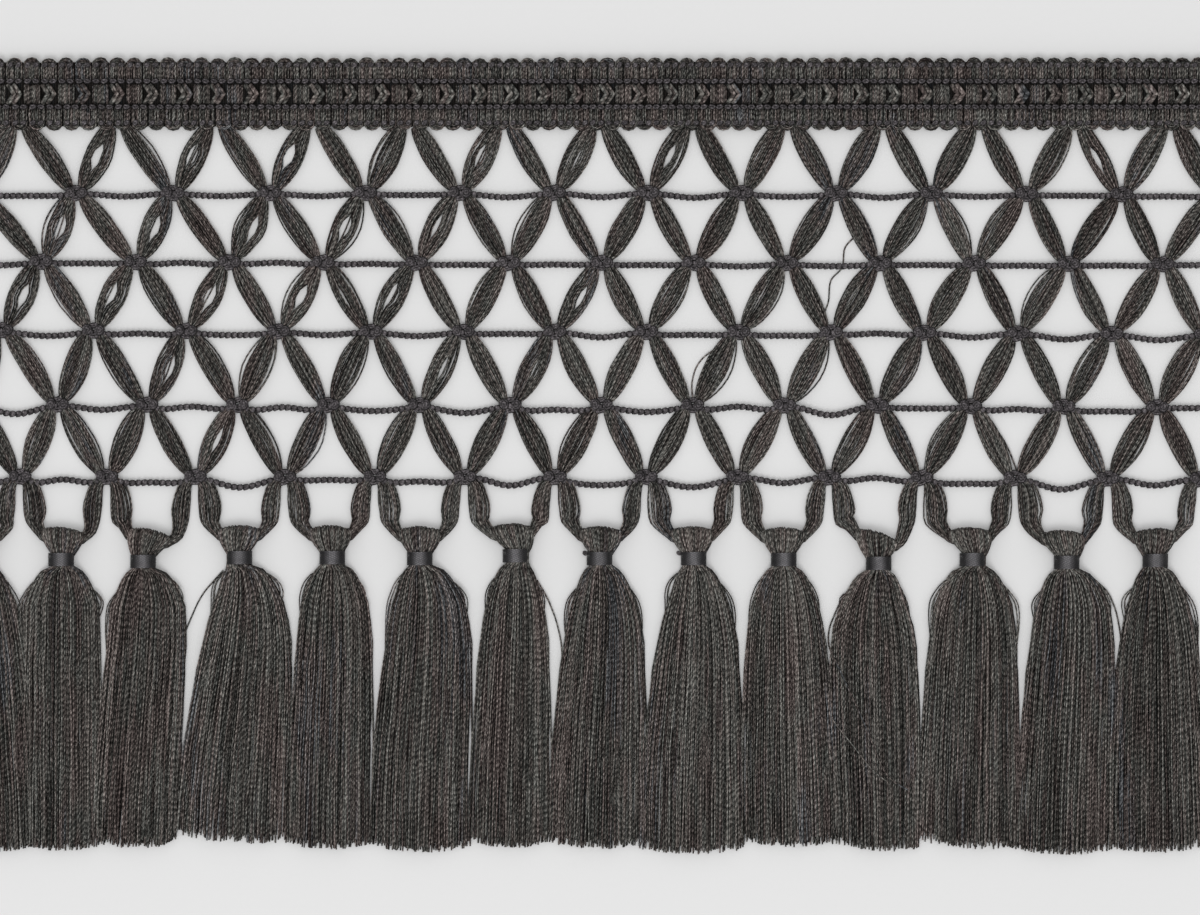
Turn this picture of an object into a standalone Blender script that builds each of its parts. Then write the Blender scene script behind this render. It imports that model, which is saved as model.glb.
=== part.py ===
"""Tassel fringe trim: a braided heading, a knotted yarn lattice and a row of hung tassels.

The trim lies flat with its face up. +X runs along the trim, +Y points to the heading, +Z is up.
The origin is the centre of the footprint, on the surface that the trim lies on.
Lengths in this file are in millimetres until a mesh is made.
"""

import math
import random

import bpy

MM = 0.001
DOWN = -math.pi / 2

# Overall sizes
TRIM_LENGTH = 280.0
TRIM_TOP = 83.4
GAP = 0.3

# Heading: a flat braid with beaded edges and a sunk middle channel
HEADING_WIDTH = 15.4
BEAD_ROW = {"count": 83, "first_x": -141.0, "pitch": 3.427, "bow": 3.8}
BEAD_DEPTH = 1.0
EDGE_HEIGHT = 1.5
BAND_HEIGHT = 3.0
BAND_SHOULDER = 1.9
CHANNEL_HALF_WIDTH = 2.1
CHANNEL_HEIGHT = 2.3
CHANNEL_WALL = 0.25
COARSE_STEPS = 9

# Lattice: yarn bundles tied at knots that a chain cord joins in rows
ROOT_ROW = {"count": 14, "first_x": -138.6, "pitch": 20.22, "bow": 1.7}
NET_ROWS = (
    {"count": 14, "first_x": -126.0, "pitch": 19.99, "bow": 1.1, "y": (55.0, 55.1, 54.6), "sag": 0.4},
    {"count": 14, "first_x": -132.2, "pitch": 19.60, "bow": 0.0, "y": (40.8, 40.4, 40.0), "sag": 0.4},
    {"count": 14, "first_x": -120.8, "pitch": 19.41, "bow": -0.6, "y": (26.4, 25.9, 25.2), "sag": 0.6},
    {"count": 14, "first_x": -127.0, "pitch": 19.11, "bow": -2.2, "y": (10.7, 10.5, 9.9), "sag": 0.9},
    {"count": 15, "first_x": -133.7, "pitch": 18.88, "bow": -3.7, "y": (-4.5, -4.6, -5.1), "sag": 0.8},
)
BOW_SKEW = 0.6
SPACING_WAVE = {"reach": -0.3, "length": 190.0}
KNOT_RADIUS = 1.75
KNOT_HEIGHT = 2.7
BUNDLE_END_WIDTH = 1.7
BUNDLE_END_HEIGHT = 1.9
BUNDLE_HEIGHT = 1.6
BUNDLE_TOP_SHARE = 0.6
FALLING_BUNDLE_WIDTH = 4.4
RISING_BUNDLE_WIDTH = 5.2
RISING_BUNDLE_EXTRA = 0.9
WIDTH_SPREAD = (0.94, 1.04)
BUNDLE_BOW = 0.25
BUNDLE_REACH = 15.0
# Share of the way along a bundle, and share of its full width there
BUNDLE_STATIONS = ((0.25, 0.84), (0.5, 1.0), (0.75, 0.84))
ROOT_HALF_SPREAD = 1.5
CHAIN_WIDTH = 1.35
CHAIN_HEIGHT = 1.2
CHAIN_TAIL_END = 139.0

# Hanging loops: one bundle from knot to knot, through the head of each tassel
LOOP_STATIONS = (
    {"from_knot": 3.05, "below_knot": 4.8, "width": 4.7, "low": 0.0, "height": 1.6},
    {"from_knot": 3.45, "below_knot": 7.6, "width": 4.3, "low": 0.0, "height": 1.6},
)
LOOP_TURN = {"from_head": 6.5, "above": 2.3, "width": 2.8, "low": 0.7, "height": 1.5}
LOOP_MOUTH = {"from_head": 4.8, "above": 0.1, "width": 1.7, "low": 1.55, "height": 1.4}
LOOP_DEPTH_IN_HEAD = 2.2
TUNNEL_WIDTH = 2.6
TUNNEL_HEIGHT = 2.1
TUNNEL_LOW = 1.25
TUNNEL_LENGTH = 16.0

# Tassels: sections down the head, neck and shoulder; drop is below the head's top edge
TASSEL_SECTIONS = (
    {"drop": 0.0, "half_width": 3.7, "low": 1.2, "high": 3.5, "tilt": 1.0},
    {"drop": 1.3, "half_width": 4.4, "low": 0.1, "high": 4.7, "tilt": 1.0},
    {"drop": 4.0, "half_width": 3.5, "low": 0.1, "high": 4.7, "tilt": 0.5},
    {"drop": 5.3, "half_width": 2.1, "low": 0.85, "high": 3.95, "tilt": 0.0},
    {"drop": 8.4, "half_width": 2.1, "low": 0.85, "high": 3.95, "tilt": 0.0},
    {"drop": 10.2, "half_width": 4.5, "low": 0.2, "high": 4.2, "tilt": 0.0},
    {"drop": 14.4, "half_width": 6.9, "low": 0.0, "high": 4.0, "tilt": 0.0},
)
SHOULDER = {"drop": 19.6, "hem_share": 0.42, "low": 0.0, "high": 3.8}
NECK_SECTION = 3
HEAD_TOP_Y = -15.2
FLAT_SHARE = 0.88
# One row for each tassel: neck off the head's middle, head tilt in degrees, head top off the
# usual line, and the two lower corners of the skirt
TASSELS = (
    {"lean": 0.0, "tilt": 0, "rise": 0.0, "left": (-135.4, -82.4), "right": (-116.6, -82.2)},
    {"lean": -0.4, "tilt": -6, "rise": -0.2, "left": (-116.6, -81.8), "right": (-101.4, -82.2)},
    {"lean": -1.5, "tilt": -12, "rise": -0.6, "left": (-101.4, -81.2), "right": (-85.3, -81.6)},
    {"lean": 0.0, "tilt": 0, "rise": 0.2, "left": (-85.3, -79.5), "right": (-61.7, -81.2)},
    {"lean": 0.6, "tilt": 0, "rise": 0.2, "left": (-61.7, -81.6), "right": (-44.3, -81.8)},
    {"lean": 0.0, "tilt": -1, "rise": 0.0, "left": (-44.3, -82.0), "right": (-23.5, -82.6)},
    {"lean": 1.2, "tilt": 2, "rise": 0.6, "left": (-23.5, -81.0), "right": (-6.3, -81.8)},
    {"lean": -0.2, "tilt": -2, "rise": 0.0, "left": (-6.3, -81.2), "right": (14.1, -82.0)},
    {"lean": 0.4, "tilt": 0, "rise": 0.0, "left": (14.1, -82.7), "right": (34.4, -82.7)},
    {"lean": 0.0, "tilt": -1, "rise": -0.2, "left": (34.4, -81.0), "right": (54.0, -81.4)},
    {"lean": 0.6, "tilt": -16, "rise": -1.0, "left": (54.0, -81.6), "right": (70.6, -82.6)},
    {"lean": 0.8, "tilt": 0, "rise": -0.2, "left": (70.6, -80.7), "right": (92.0, -82.4)},
    {"lean": 1.0, "tilt": -1, "rise": -0.8, "left": (92.0, -82.8), "right": (111.9, -83.0)},
    {"lean": 0.0, "tilt": 2, "rise": -0.4, "left": (111.9, -82.6), "right": (133.1, -82.2)},
)
LOWER_LOCKS = 10
LOCK_EMBED = 1.5
LOCK_ROOT_SHARE = 0.84
LOCK_ROOT_LOW = 0.4
LOCK_ROOT_HIGH = 3.4
LOCK_TIP_HIGH = 3.2
LOCK_ROOT_GAP = 0.2
LOCK_TIP_GAP = 0.3
LOCK_CLEAR = 0.3
HEM_RAGGED = 0.4
SKIRT_MARGIN = 0.25

# Neck bindings
BINDING_LENGTH = 2.5
BINDING_WALL = 0.45
BINDING_START = 5.65

SEED = 7

FINISHES = {
    "heading_yarn": ((0.050, 0.046, 0.043, 1.0), 0.85),
    "bundle_yarn": ((0.060, 0.053, 0.048, 1.0), 0.82),
    "tassel_yarn": ((0.062, 0.055, 0.050, 1.0), 0.80),
    "binding_thread": ((0.050, 0.050, 0.056, 1.0), 0.45),
}


def clear_scene():
    for obj in list(bpy.data.objects):
        bpy.data.objects.remove(obj)


def finish(name):
    """The material of that name, made the first time it is asked for."""
    material = bpy.data.materials.get(name)
    if material is None:
        material = bpy.data.materials.new(name)
        material.use_nodes = True
        colour, roughness = FINISHES[name]
        shader = material.node_tree.nodes["Principled BSDF"]
        shader.inputs["Base Color"].default_value = colour
        shader.inputs["Roughness"].default_value = roughness
        shader.inputs["Metallic"].default_value = 0.0
    return material


class Skin:
    """Points in millimetres and faces, gathered piece by piece into one surface."""

    def __init__(self):
        self.points = []
        self.faces = []

    def add(self, *points):
        first = len(self.points)
        self.points.extend(points)
        return list(range(first, len(self.points)))

    def tube(self, rings):
        """Joins each ring of points to the next one."""
        for ring, following in zip(rings, rings[1:]):
            for here in range(len(ring)):
                there = (here + 1) % len(ring)
                self.faces.append((ring[here], ring[there], following[there], following[here]))

    def close_start(self, ring):
        self.faces.append(tuple(reversed(ring)))

    def close_end(self, ring):
        self.faces.append(tuple(ring))

    def strip(self, upper, lower):
        """Triangles between two lines of points that both run towards +X; the face looks up."""
        i, j = 0, 0
        while i + 1 < len(upper) or j + 1 < len(lower):
            upper_next = self.points[upper[i + 1]][0] if i + 1 < len(upper) else math.inf
            lower_next = self.points[lower[j + 1]][0] if j + 1 < len(lower) else math.inf
            if upper_next <= lower_next:
                self.faces.append((upper[i], lower[j], upper[i + 1]))
                i += 1
            else:
                self.faces.append((upper[i], lower[j], lower[j + 1]))
                j += 1

    def make(self, name, material):
        mesh = bpy.data.meshes.new(name)
        mesh.from_pydata([tuple(value * MM for value in point) for point in self.points], [], self.faces)
        mesh.materials.append(finish(material))
        mesh.update()
        obj = bpy.data.objects.new(name, mesh)
        bpy.context.scene.collection.objects.link(obj)
        return obj


def hide_helper(obj):
    """A helper shape stays out of the finished object."""
    obj.hide_render = True
    obj.display_type = "WIRE"


# Heading


def edge_line(skin, side, height):
    """The beaded edge as points towards +X: side is 1 for the upper edge and -1 for the lower."""
    middle = TRIM_TOP - HEADING_WIDTH / 2
    peak, valley = middle + side * HEADING_WIDTH / 2, middle + side * (HEADING_WIDTH / 2 - BEAD_DEPTH)
    beads = [row_x(BEAD_ROW, number) for number in range(BEAD_ROW["count"])]
    beads = [x for x in beads if abs(x) < TRIM_LENGTH / 2 - BEAD_DEPTH]
    line = skin.add((-TRIM_LENGTH / 2, valley, height), (beads[0], peak, height))
    for x, following in zip(beads, beads[1:]):
        line += skin.add(((x + following) / 2, valley, height), (following, peak, height))
    return line + skin.add((TRIM_LENGTH / 2, valley, height))


def coarse_line(skin, offset, height):
    """A straight line along the heading at an offset from its middle."""
    y = TRIM_TOP - HEADING_WIDTH / 2 + offset
    shares = [step / COARSE_STEPS - 0.5 for step in range(COARSE_STEPS + 1)]
    return skin.add(*[(TRIM_LENGTH * share, y, height) for share in shares])


def make_heading():
    skin = Skin()
    crest = HEADING_WIDTH / 2 - BAND_SHOULDER
    lines = [
        edge_line(skin, 1, 0.0),
        edge_line(skin, 1, EDGE_HEIGHT),
        coarse_line(skin, crest, BAND_HEIGHT),
        coarse_line(skin, CHANNEL_HALF_WIDTH + CHANNEL_WALL, BAND_HEIGHT),
        coarse_line(skin, CHANNEL_HALF_WIDTH, CHANNEL_HEIGHT),
        coarse_line(skin, -CHANNEL_HALF_WIDTH, CHANNEL_HEIGHT),
        coarse_line(skin, -CHANNEL_HALF_WIDTH - CHANNEL_WALL, BAND_HEIGHT),
        coarse_line(skin, -crest, BAND_HEIGHT),
        edge_line(skin, -1, EDGE_HEIGHT),
        edge_line(skin, -1, 0.0),
    ]
    for upper, lower in zip(lines, lines[1:]):
        skin.strip(upper, lower)
    under_top, under_low = lines[0], lines[-1]
    for here in range(len(under_top) - 1):
        there = here + 1
        skin.faces.append((under_low[here], under_top[here], under_top[there], under_low[there]))
    skin.close_start([line[0] for line in lines])
    skin.close_end([line[-1] for line in lines])
    return skin.make("heading", "heading_yarn")


# Lattice


def row_x(row, number):
    """Where a knot of a row is along the trim: rows crowd and spread a little."""
    x = row["first_x"] + row["pitch"] * number
    bow = row["bow"] * math.sin(math.pi * (number / (row["count"] - 1)) ** BOW_SKEW)
    return x + bow + SPACING_WAVE["reach"] * math.sin(math.tau * x / SPACING_WAVE["length"])


def row_y(row, x):
    """A row's height at its left end, middle and right end, as a smooth line."""
    left, middle, right = row["y"]
    share = (x + TRIM_LENGTH / 2) / TRIM_LENGTH
    edge = (left if share < 0.5 else right) - middle
    return middle + edge * (2 * share - 1) ** 2


def knot_places():
    """The knots of each row, from left to right."""
    return [
        [(row_x(row, number), row_y(row, row_x(row, number))) for number in range(row["count"])]
        for row in NET_ROWS
    ]


def side_ring(skin, x, y, angle, width, low, height):
    """Four points across a bundle that runs along angle: right foot, left foot, left and right top."""
    across_x, across_y = -math.sin(angle), math.cos(angle)
    foot, top = width / 2, width / 2 * BUNDLE_TOP_SHARE
    return skin.add(
        (x - foot * across_x, y - foot * across_y, low),
        (x + foot * across_x, y + foot * across_y, low),
        (x + top * across_x, y + top * across_y, low + height),
        (x - top * across_x, y - top * across_y, low + height),
    )


class Knot:
    """A knot and the rings of the arms that leave it."""

    def __init__(self, x, y):
        self.x = x
        self.y = y
        self.arms = []

    def leave(self, ring, angle):
        """An arm that starts here."""
        right_foot, left_foot, left_top, right_top = ring
        self.arms.append((angle % math.tau, (right_foot, right_top), (left_foot, left_top)))

    def arrive(self, ring, angle):
        """An arm that ends here: angle is the way it travels."""
        right_foot, left_foot, left_top, right_top = ring
        outward = (angle + math.pi) % math.tau
        self.arms.append((outward, (left_foot, left_top), (right_foot, right_top)))

    def close(self, skin):
        """The knot itself: a flat foot, walls between its arms and a raised crown."""
        arms = sorted(self.arms)
        (crown,) = skin.add((self.x, self.y, KNOT_HEIGHT))
        feet = []
        for number, (_, first, second) in enumerate(arms):
            _, following, _ = arms[(number + 1) % len(arms)]
            skin.faces.append((crown, first[1], second[1]))
            skin.faces.append((crown, second[1], following[1]))
            skin.faces.append((second[0], following[0], following[1], second[1]))
            feet += [first[0], second[0]]
        skin.faces.append(tuple(reversed(feet)))


def towards(start, end):
    return math.atan2(end[1] - start[1], end[0] - start[0])


def away(place, angle, distance):
    return place[0] + distance * math.cos(angle), place[1] + distance * math.sin(angle)


def add_bundle(skin, start, end, width, leaf, leave, arrive):
    """A spindle of yarn from start to end; leave and arrive are the knots there, or None."""
    angle = towards(start, end)
    a = away(start, angle, KNOT_RADIUS if leave else 0.0)
    b = away(end, angle, -KNOT_RADIUS if arrive else 0.0)
    first_angle = angle if leave else DOWN
    rings = [side_ring(skin, *a, first_angle, BUNDLE_END_WIDTH, 0.0, BUNDLE_END_HEIGHT)]
    for share, fullness in BUNDLE_STATIONS:
        x = a[0] + (b[0] - a[0]) * share - leaf * fullness * math.sin(angle)
        y = a[1] + (b[1] - a[1]) * share + leaf * fullness * math.cos(angle)
        rings.append(side_ring(skin, x, y, angle, width * fullness, 0.0, BUNDLE_HEIGHT))
    rings.append(side_ring(skin, *b, angle, BUNDLE_END_WIDTH, 0.0, BUNDLE_END_HEIGHT))
    skin.tube(rings)
    if leave:
        leave.leave(rings[0], angle)
    else:
        skin.close_start(rings[0])
    arrive.arrive(rings[-1], angle)


def add_chain(skin, start, end, sag, leave, arrive):
    """A stretch of chain cord between two knots, or a cut tail where one of them is None."""
    a = away(start, 0.0, KNOT_RADIUS) if leave else start
    b = away(end, 0.0, -KNOT_RADIUS) if arrive else end
    middle = ((a[0] + b[0]) / 2, (a[1] + b[1]) / 2 - sag)
    rings = [side_ring(skin, *place, 0.0, CHAIN_WIDTH, 0.0, CHAIN_HEIGHT) for place in (a, middle, b)]
    skin.tube(rings)
    if leave:
        leave.leave(rings[0], 0.0)
    else:
        skin.close_start(rings[0])
    if arrive:
        arrive.arrive(rings[-1], 0.0)
    else:
        skin.close_end(rings[-1])


def add_chain_row(skin, row, knots):
    first, last = knots[0], knots[-1]
    add_chain(skin, (-CHAIN_TAIL_END, first.y), (first.x, first.y), 0.0, None, first)
    for knot, following in zip(knots, knots[1:]):
        add_chain(skin, (knot.x, knot.y), (following.x, following.y), row["sag"], knot, following)
    add_chain(skin, (last.x, last.y), (CHAIN_TAIL_END, last.y), 0.0, last, None)


def bundle_width(rising, x, row_number, chance):
    """Rising bundles are opened widest at the upper left; both kinds vary a little."""
    width = FALLING_BUNDLE_WIDTH
    if rising:
        leftness = 0.5 - x / TRIM_LENGTH
        upperness = 1 - row_number / len(NET_ROWS)
        width = RISING_BUNDLE_WIDTH + RISING_BUNDLE_EXTRA * leftness * upperness
    return width * chance.uniform(*WIDTH_SPREAD)


def add_bundles(skin, knots, chance):
    """Bundles from the heading to the first row of knots, and from each row to the next."""
    root_y = TRIM_TOP - HEADING_WIDTH - GAP
    for number in range(ROOT_ROW["count"]):
        root_x = row_x(ROOT_ROW, number)
        for knot in knots[0]:
            if abs(knot.x - root_x) > BUNDLE_REACH:
                continue
            rising = knot.x < root_x
            side = -ROOT_HALF_SPREAD if rising else ROOT_HALF_SPREAD
            width = bundle_width(rising, root_x, 0, chance)
            leaf = chance.uniform(-BUNDLE_BOW, BUNDLE_BOW)
            add_bundle(skin, (root_x + side, root_y), (knot.x, knot.y), width, leaf, None, knot)
    for row_number, (upper, lower) in enumerate(zip(knots, knots[1:]), 1):
        for above in upper:
            for below in lower:
                if abs(above.x - below.x) > BUNDLE_REACH:
                    continue
                width = bundle_width(below.x < above.x, above.x, row_number, chance)
                leaf = chance.uniform(-BUNDLE_BOW, BUNDLE_BOW)
                start, end = (above.x, above.y), (below.x, below.y)
                add_bundle(skin, start, end, width, leaf, above, below)


def head_place(number, places):
    """The middle of a tassel head's top edge."""
    left, right = places[-1][number], places[-1][number + 1]
    return (left[0] + right[0]) / 2, HEAD_TOP_Y + TASSELS[number]["rise"]


def loop_half(side, knot, head, tilt):
    """Stations down one arm of a hanging loop: side is -1 on the left and 1 on the right."""
    stations = []
    for station in LOOP_STATIONS:
        x = knot.x - side * station["from_knot"]
        stations.append((x, knot.y - station["below_knot"], station))
    for station in (LOOP_TURN, LOOP_MOUTH):
        reach = side * station["from_head"]
        x = head[0] + reach * math.cos(tilt)
        y = head[1] - LOOP_DEPTH_IN_HEAD + station["above"] + reach * math.sin(tilt)
        stations.append((x, y, station))
    return stations


def add_loop(skin, number, places, knots):
    """The bundle that hangs from two knots and carries a tassel by its head."""
    left, right = knots[-1][number], knots[-1][number + 1]
    head = head_place(number, places)
    tilt = math.radians(TASSELS[number]["tilt"])
    stations = loop_half(-1, left, head, tilt)
    stations.append((head[0], head[1] - LOOP_DEPTH_IN_HEAD, LOOP_MOUTH))
    stations += reversed(loop_half(1, right, head, tilt))
    line = [(x, y) for x, y, _ in stations]
    leaving, arriving = towards((left.x, left.y), line[0]), towards(line[-1], (right.x, right.y))
    start = away((left.x, left.y), leaving, KNOT_RADIUS)
    end = away((right.x, right.y), arriving, -KNOT_RADIUS)
    rings = [side_ring(skin, *start, leaving, BUNDLE_END_WIDTH, 0.0, BUNDLE_END_HEIGHT)]
    whole = [start, *line, end]
    for place, (x, y, station) in enumerate(stations, 1):
        angle = towards(whole[place - 1], whole[place + 1])
        rings.append(side_ring(skin, x, y, angle, station["width"], station["low"], station["height"]))
    rings.append(side_ring(skin, *end, arriving, BUNDLE_END_WIDTH, 0.0, BUNDLE_END_HEIGHT))
    skin.tube(rings)
    left.leave(rings[0], leaving)
    right.arrive(rings[-1], arriving)


def make_net(places):
    chance = random.Random(SEED)
    skin = Skin()
    knots = [[Knot(x, y) for x, y in row] for row in places]
    for row, row_knots in zip(NET_ROWS, knots):
        add_chain_row(skin, row, row_knots)
    add_bundles(skin, knots, chance)
    for number in range(len(TASSELS)):
        add_loop(skin, number, places, knots)
    for row_knots in knots:
        for knot in row_knots:
            knot.close(skin)
    return skin.make("lattice", "bundle_yarn")


# Tassels


def hexagon(skin, x, y, half_width, low, high, tilt):
    """A flat-sided section across a tassel, as seen from its head: six points."""
    middle = (low + high) / 2
    corners = (
        (-FLAT_SHARE * half_width, low),
        (FLAT_SHARE * half_width, low),
        (half_width, middle),
        (FLAT_SHARE * half_width, high),
        (-FLAT_SHARE * half_width, high),
        (-half_width, middle),
    )
    along_x, along_y = math.cos(tilt), math.sin(tilt)
    return skin.add(*[(x + across * along_x, y + across * along_y, z) for across, z in corners])


def shoulder_half_width(tassel):
    return (tassel["right"][0] - tassel["left"][0]) * SHOULDER["hem_share"]


def tassel_middle(number, places, drop):
    """The tassel's middle at a distance below the head's top edge."""
    tassel = TASSELS[number]
    head_x, _ = head_place(number, places)
    neck_drop = TASSEL_SECTIONS[NECK_SECTION]["drop"]
    neck_x = head_x + tassel["lean"]
    if drop <= neck_drop:
        return head_x + tassel["lean"] * drop / neck_drop
    hem_drop = HEAD_TOP_Y - (tassel["left"][1] + tassel["right"][1]) / 2
    hem_x = (tassel["left"][0] + tassel["right"][0]) / 2
    return neck_x + (hem_x - neck_x) * (drop - neck_drop) / (hem_drop - neck_drop)


def make_tassel_body(number, places):
    """Head, neck and shoulder of a tassel as one solid."""
    tassel = TASSELS[number]
    _, head_y = head_place(number, places)
    skin = Skin()
    rings = []
    for section in TASSEL_SECTIONS:
        drop = section["drop"]
        x = tassel_middle(number, places, drop)
        tilt = math.radians(tassel["tilt"]) * section["tilt"]
        half_width, low, high = section["half_width"], section["low"], section["high"]
        rings.append(hexagon(skin, x, head_y - drop, half_width, low, high, tilt))
    x = tassel_middle(number, places, SHOULDER["drop"])
    y, low, high = head_y - SHOULDER["drop"], SHOULDER["low"], SHOULDER["high"]
    rings.append(hexagon(skin, x, y, shoulder_half_width(tassel), low, high, 0.0))
    skin.tube(rings)
    skin.close_start(rings[0])
    skin.close_end(rings[-1])
    return skin.make(f"tassel_{number:02d}", "tassel_yarn")


def make_tunnel(number, places):
    """The cutter that opens the head's fold for the hanging loop."""
    head_x, head_y = head_place(number, places)
    tilt = math.radians(TASSELS[number]["tilt"])
    y = head_y - LOOP_DEPTH_IN_HEAD
    skin = Skin()
    rings = []
    for end in (-TUNNEL_LENGTH / 2, TUNNEL_LENGTH / 2):
        x = head_x + end * math.cos(tilt)
        across_x, across_y = -math.sin(tilt) * TUNNEL_WIDTH / 2, math.cos(tilt) * TUNNEL_WIDTH / 2
        end_y = y + end * math.sin(tilt)
        ring = skin.add(
            (x - across_x, end_y - across_y, TUNNEL_LOW),
            (x + across_x, end_y + across_y, TUNNEL_LOW),
            (x + across_x, end_y + across_y, TUNNEL_LOW + TUNNEL_HEIGHT),
            (x - across_x, end_y - across_y, TUNNEL_LOW + TUNNEL_HEIGHT),
        )
        rings.append(ring)
    skin.tube(rings)
    skin.close_start(rings[0])
    skin.close_end(rings[-1])
    cutter = skin.make(f"tunnel_{number:02d}", "tassel_yarn")
    hide_helper(cutter)
    return cutter


def lock_section(skin, left, right, y, low, high, upright):
    """Three points across a lock of yarn: it stands on its base, or on its ridge if not upright."""
    middle = (left + right) / 2
    if upright:
        return skin.add((left, y, low), (right, y, low), (middle, y, high))
    return skin.add((middle, y, low), (right, y, high), (left, y, high))


def make_locks(number, places, chance):
    """All the locks of one skirt, in two nested layers, each one a closed body."""
    tassel = TASSELS[number]
    _, head_y = head_place(number, places)
    root_drop = SHOULDER["drop"] - LOCK_EMBED
    root_y = head_y - root_drop
    root_x = tassel_middle(number, places, root_drop)
    root_width = 2 * shoulder_half_width(tassel) * LOCK_ROOT_SHARE
    hem_left, hem_right = tassel["left"], tassel["right"]
    tip_width = hem_right[0] - hem_left[0] - 2 * SKIRT_MARGIN
    tip_x = hem_left[0] + SKIRT_MARGIN
    skin = Skin()
    for half_step in range(2 * LOWER_LOCKS - 1):
        upright = half_step % 2 == 0
        first = half_step / 2 / LOWER_LOCKS
        second = first + 1 / LOWER_LOCKS
        root_left = root_x - root_width / 2 + root_width * first + LOCK_ROOT_GAP / 2
        root_right = root_x - root_width / 2 + root_width * second - LOCK_ROOT_GAP / 2
        tip_left = tip_x + tip_width * first + LOCK_TIP_GAP / 2
        tip_right = tip_x + tip_width * second - LOCK_TIP_GAP / 2
        hem_y = hem_left[1] + (hem_right[1] - hem_left[1]) * (first + second) / 2
        tip_y = max(-TRIM_TOP, hem_y + chance.uniform(-HEM_RAGGED, HEM_RAGGED))
        root_low = LOCK_ROOT_LOW if upright else LOCK_ROOT_LOW + LOCK_CLEAR
        root_high = LOCK_ROOT_HIGH - LOCK_CLEAR if upright else LOCK_ROOT_HIGH
        tip_low = 0.0 if upright else LOCK_CLEAR
        tip_high = LOCK_TIP_HIGH - LOCK_CLEAR if upright else LOCK_TIP_HIGH
        rings = [
            lock_section(skin, root_left, root_right, root_y, root_low, root_high, upright),
            lock_section(skin, tip_left, tip_right, tip_y, tip_low, tip_high, upright),
        ]
        skin.tube(rings)
        skin.close_start(rings[0])
        skin.close_end(rings[-1])
    locks = skin.make(f"locks_{number:02d}", "tassel_yarn")
    hide_helper(locks)
    return locks


def join(obj, other, operation):
    """Keeps a live Boolean, which is exact by default."""
    modifier = obj.modifiers.new(operation.title(), "BOOLEAN")
    modifier.operation = operation
    modifier.object = other


def make_binding(number, places):
    """The wound thread round a neck: a short closed sleeve."""
    _, head_y = head_place(number, places)
    neck = TASSEL_SECTIONS[NECK_SECTION]
    skin = Skin()
    rings = []
    for wall in (GAP, GAP + BINDING_WALL):
        half_width = neck["half_width"] + wall
        low, high = neck["low"] - wall, neck["high"] + wall
        for drop in (BINDING_START, BINDING_START + BINDING_LENGTH):
            x = tassel_middle(number, places, drop)
            rings.append(hexagon(skin, x, head_y - drop, half_width, low, high, 0.0))
    inner_top, inner_low, outer_top, outer_low = rings
    skin.tube([outer_top, outer_low, inner_low, inner_top, outer_top])
    return skin.make(f"binding_{number:02d}", "binding_thread")


def make_tassels(places):
    chance = random.Random(SEED)
    for number in range(len(TASSELS)):
        tassel = make_tassel_body(number, places)
        join(tassel, make_tunnel(number, places), "DIFFERENCE")
        join(tassel, make_locks(number, places, chance), "UNION")
        make_binding(number, places)


def main():
    clear_scene()
    places = knot_places()
    make_heading()
    make_net(places)
    make_tassels(places)


main()
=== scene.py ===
"""Finished look of a tassel fringe trim: braided heading, knotted yarn lattice and bound tassels.

The trim lies flat with its face up. +X runs along it, +Y points to the heading, +Z is up.
Places and sizes in this file are in millimetres until a mesh is made; the properties are in metres.
"""

import math
import random

import bpy
from bpy.props import FloatProperty, FloatVectorProperty, IntProperty, PointerProperty
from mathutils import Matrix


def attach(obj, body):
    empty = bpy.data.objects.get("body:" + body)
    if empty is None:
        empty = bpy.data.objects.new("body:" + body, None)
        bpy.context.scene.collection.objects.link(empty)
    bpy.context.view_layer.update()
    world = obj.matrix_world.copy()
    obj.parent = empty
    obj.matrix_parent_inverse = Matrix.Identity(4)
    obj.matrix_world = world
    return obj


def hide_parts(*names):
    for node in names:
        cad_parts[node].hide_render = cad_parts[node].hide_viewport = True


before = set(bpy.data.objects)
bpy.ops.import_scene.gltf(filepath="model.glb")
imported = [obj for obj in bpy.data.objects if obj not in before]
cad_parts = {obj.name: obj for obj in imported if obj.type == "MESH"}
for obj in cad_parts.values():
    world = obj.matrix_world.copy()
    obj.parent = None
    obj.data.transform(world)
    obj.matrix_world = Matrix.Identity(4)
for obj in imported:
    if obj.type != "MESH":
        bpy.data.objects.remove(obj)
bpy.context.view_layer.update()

bl_info = {
    "name": "Tassel fringe trim",
    "version": (1, 0, 0),
    "blender": (4, 5, 0),
    "location": "View3D > Sidebar > Trim",
    "description": "Lays the yarn, cords and tassels of a furnishing trim over its solids",
    "category": "Object",
}

MM = 0.001
UP = (0.0, 0.0, 1.0)


def table(names, *rows, **shared):
    """Rows of values under the same names, each with the values that all of them share."""
    return tuple({**shared, **dict(zip(names.split(), row))} for row in rows)


def table_by_kind(kinds, names, *rows):
    """Such a table with one row for each kind of thing."""
    return dict(zip(kinds.split(), table(names, *rows)))


# Overall sizes, as in the solids
TRIM_LENGTH = 280.0
TRIM_TOP = 83.4
HEADING_WIDTH = 15.4
HEADING_MIDDLE = TRIM_TOP - HEADING_WIDTH / 2

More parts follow.
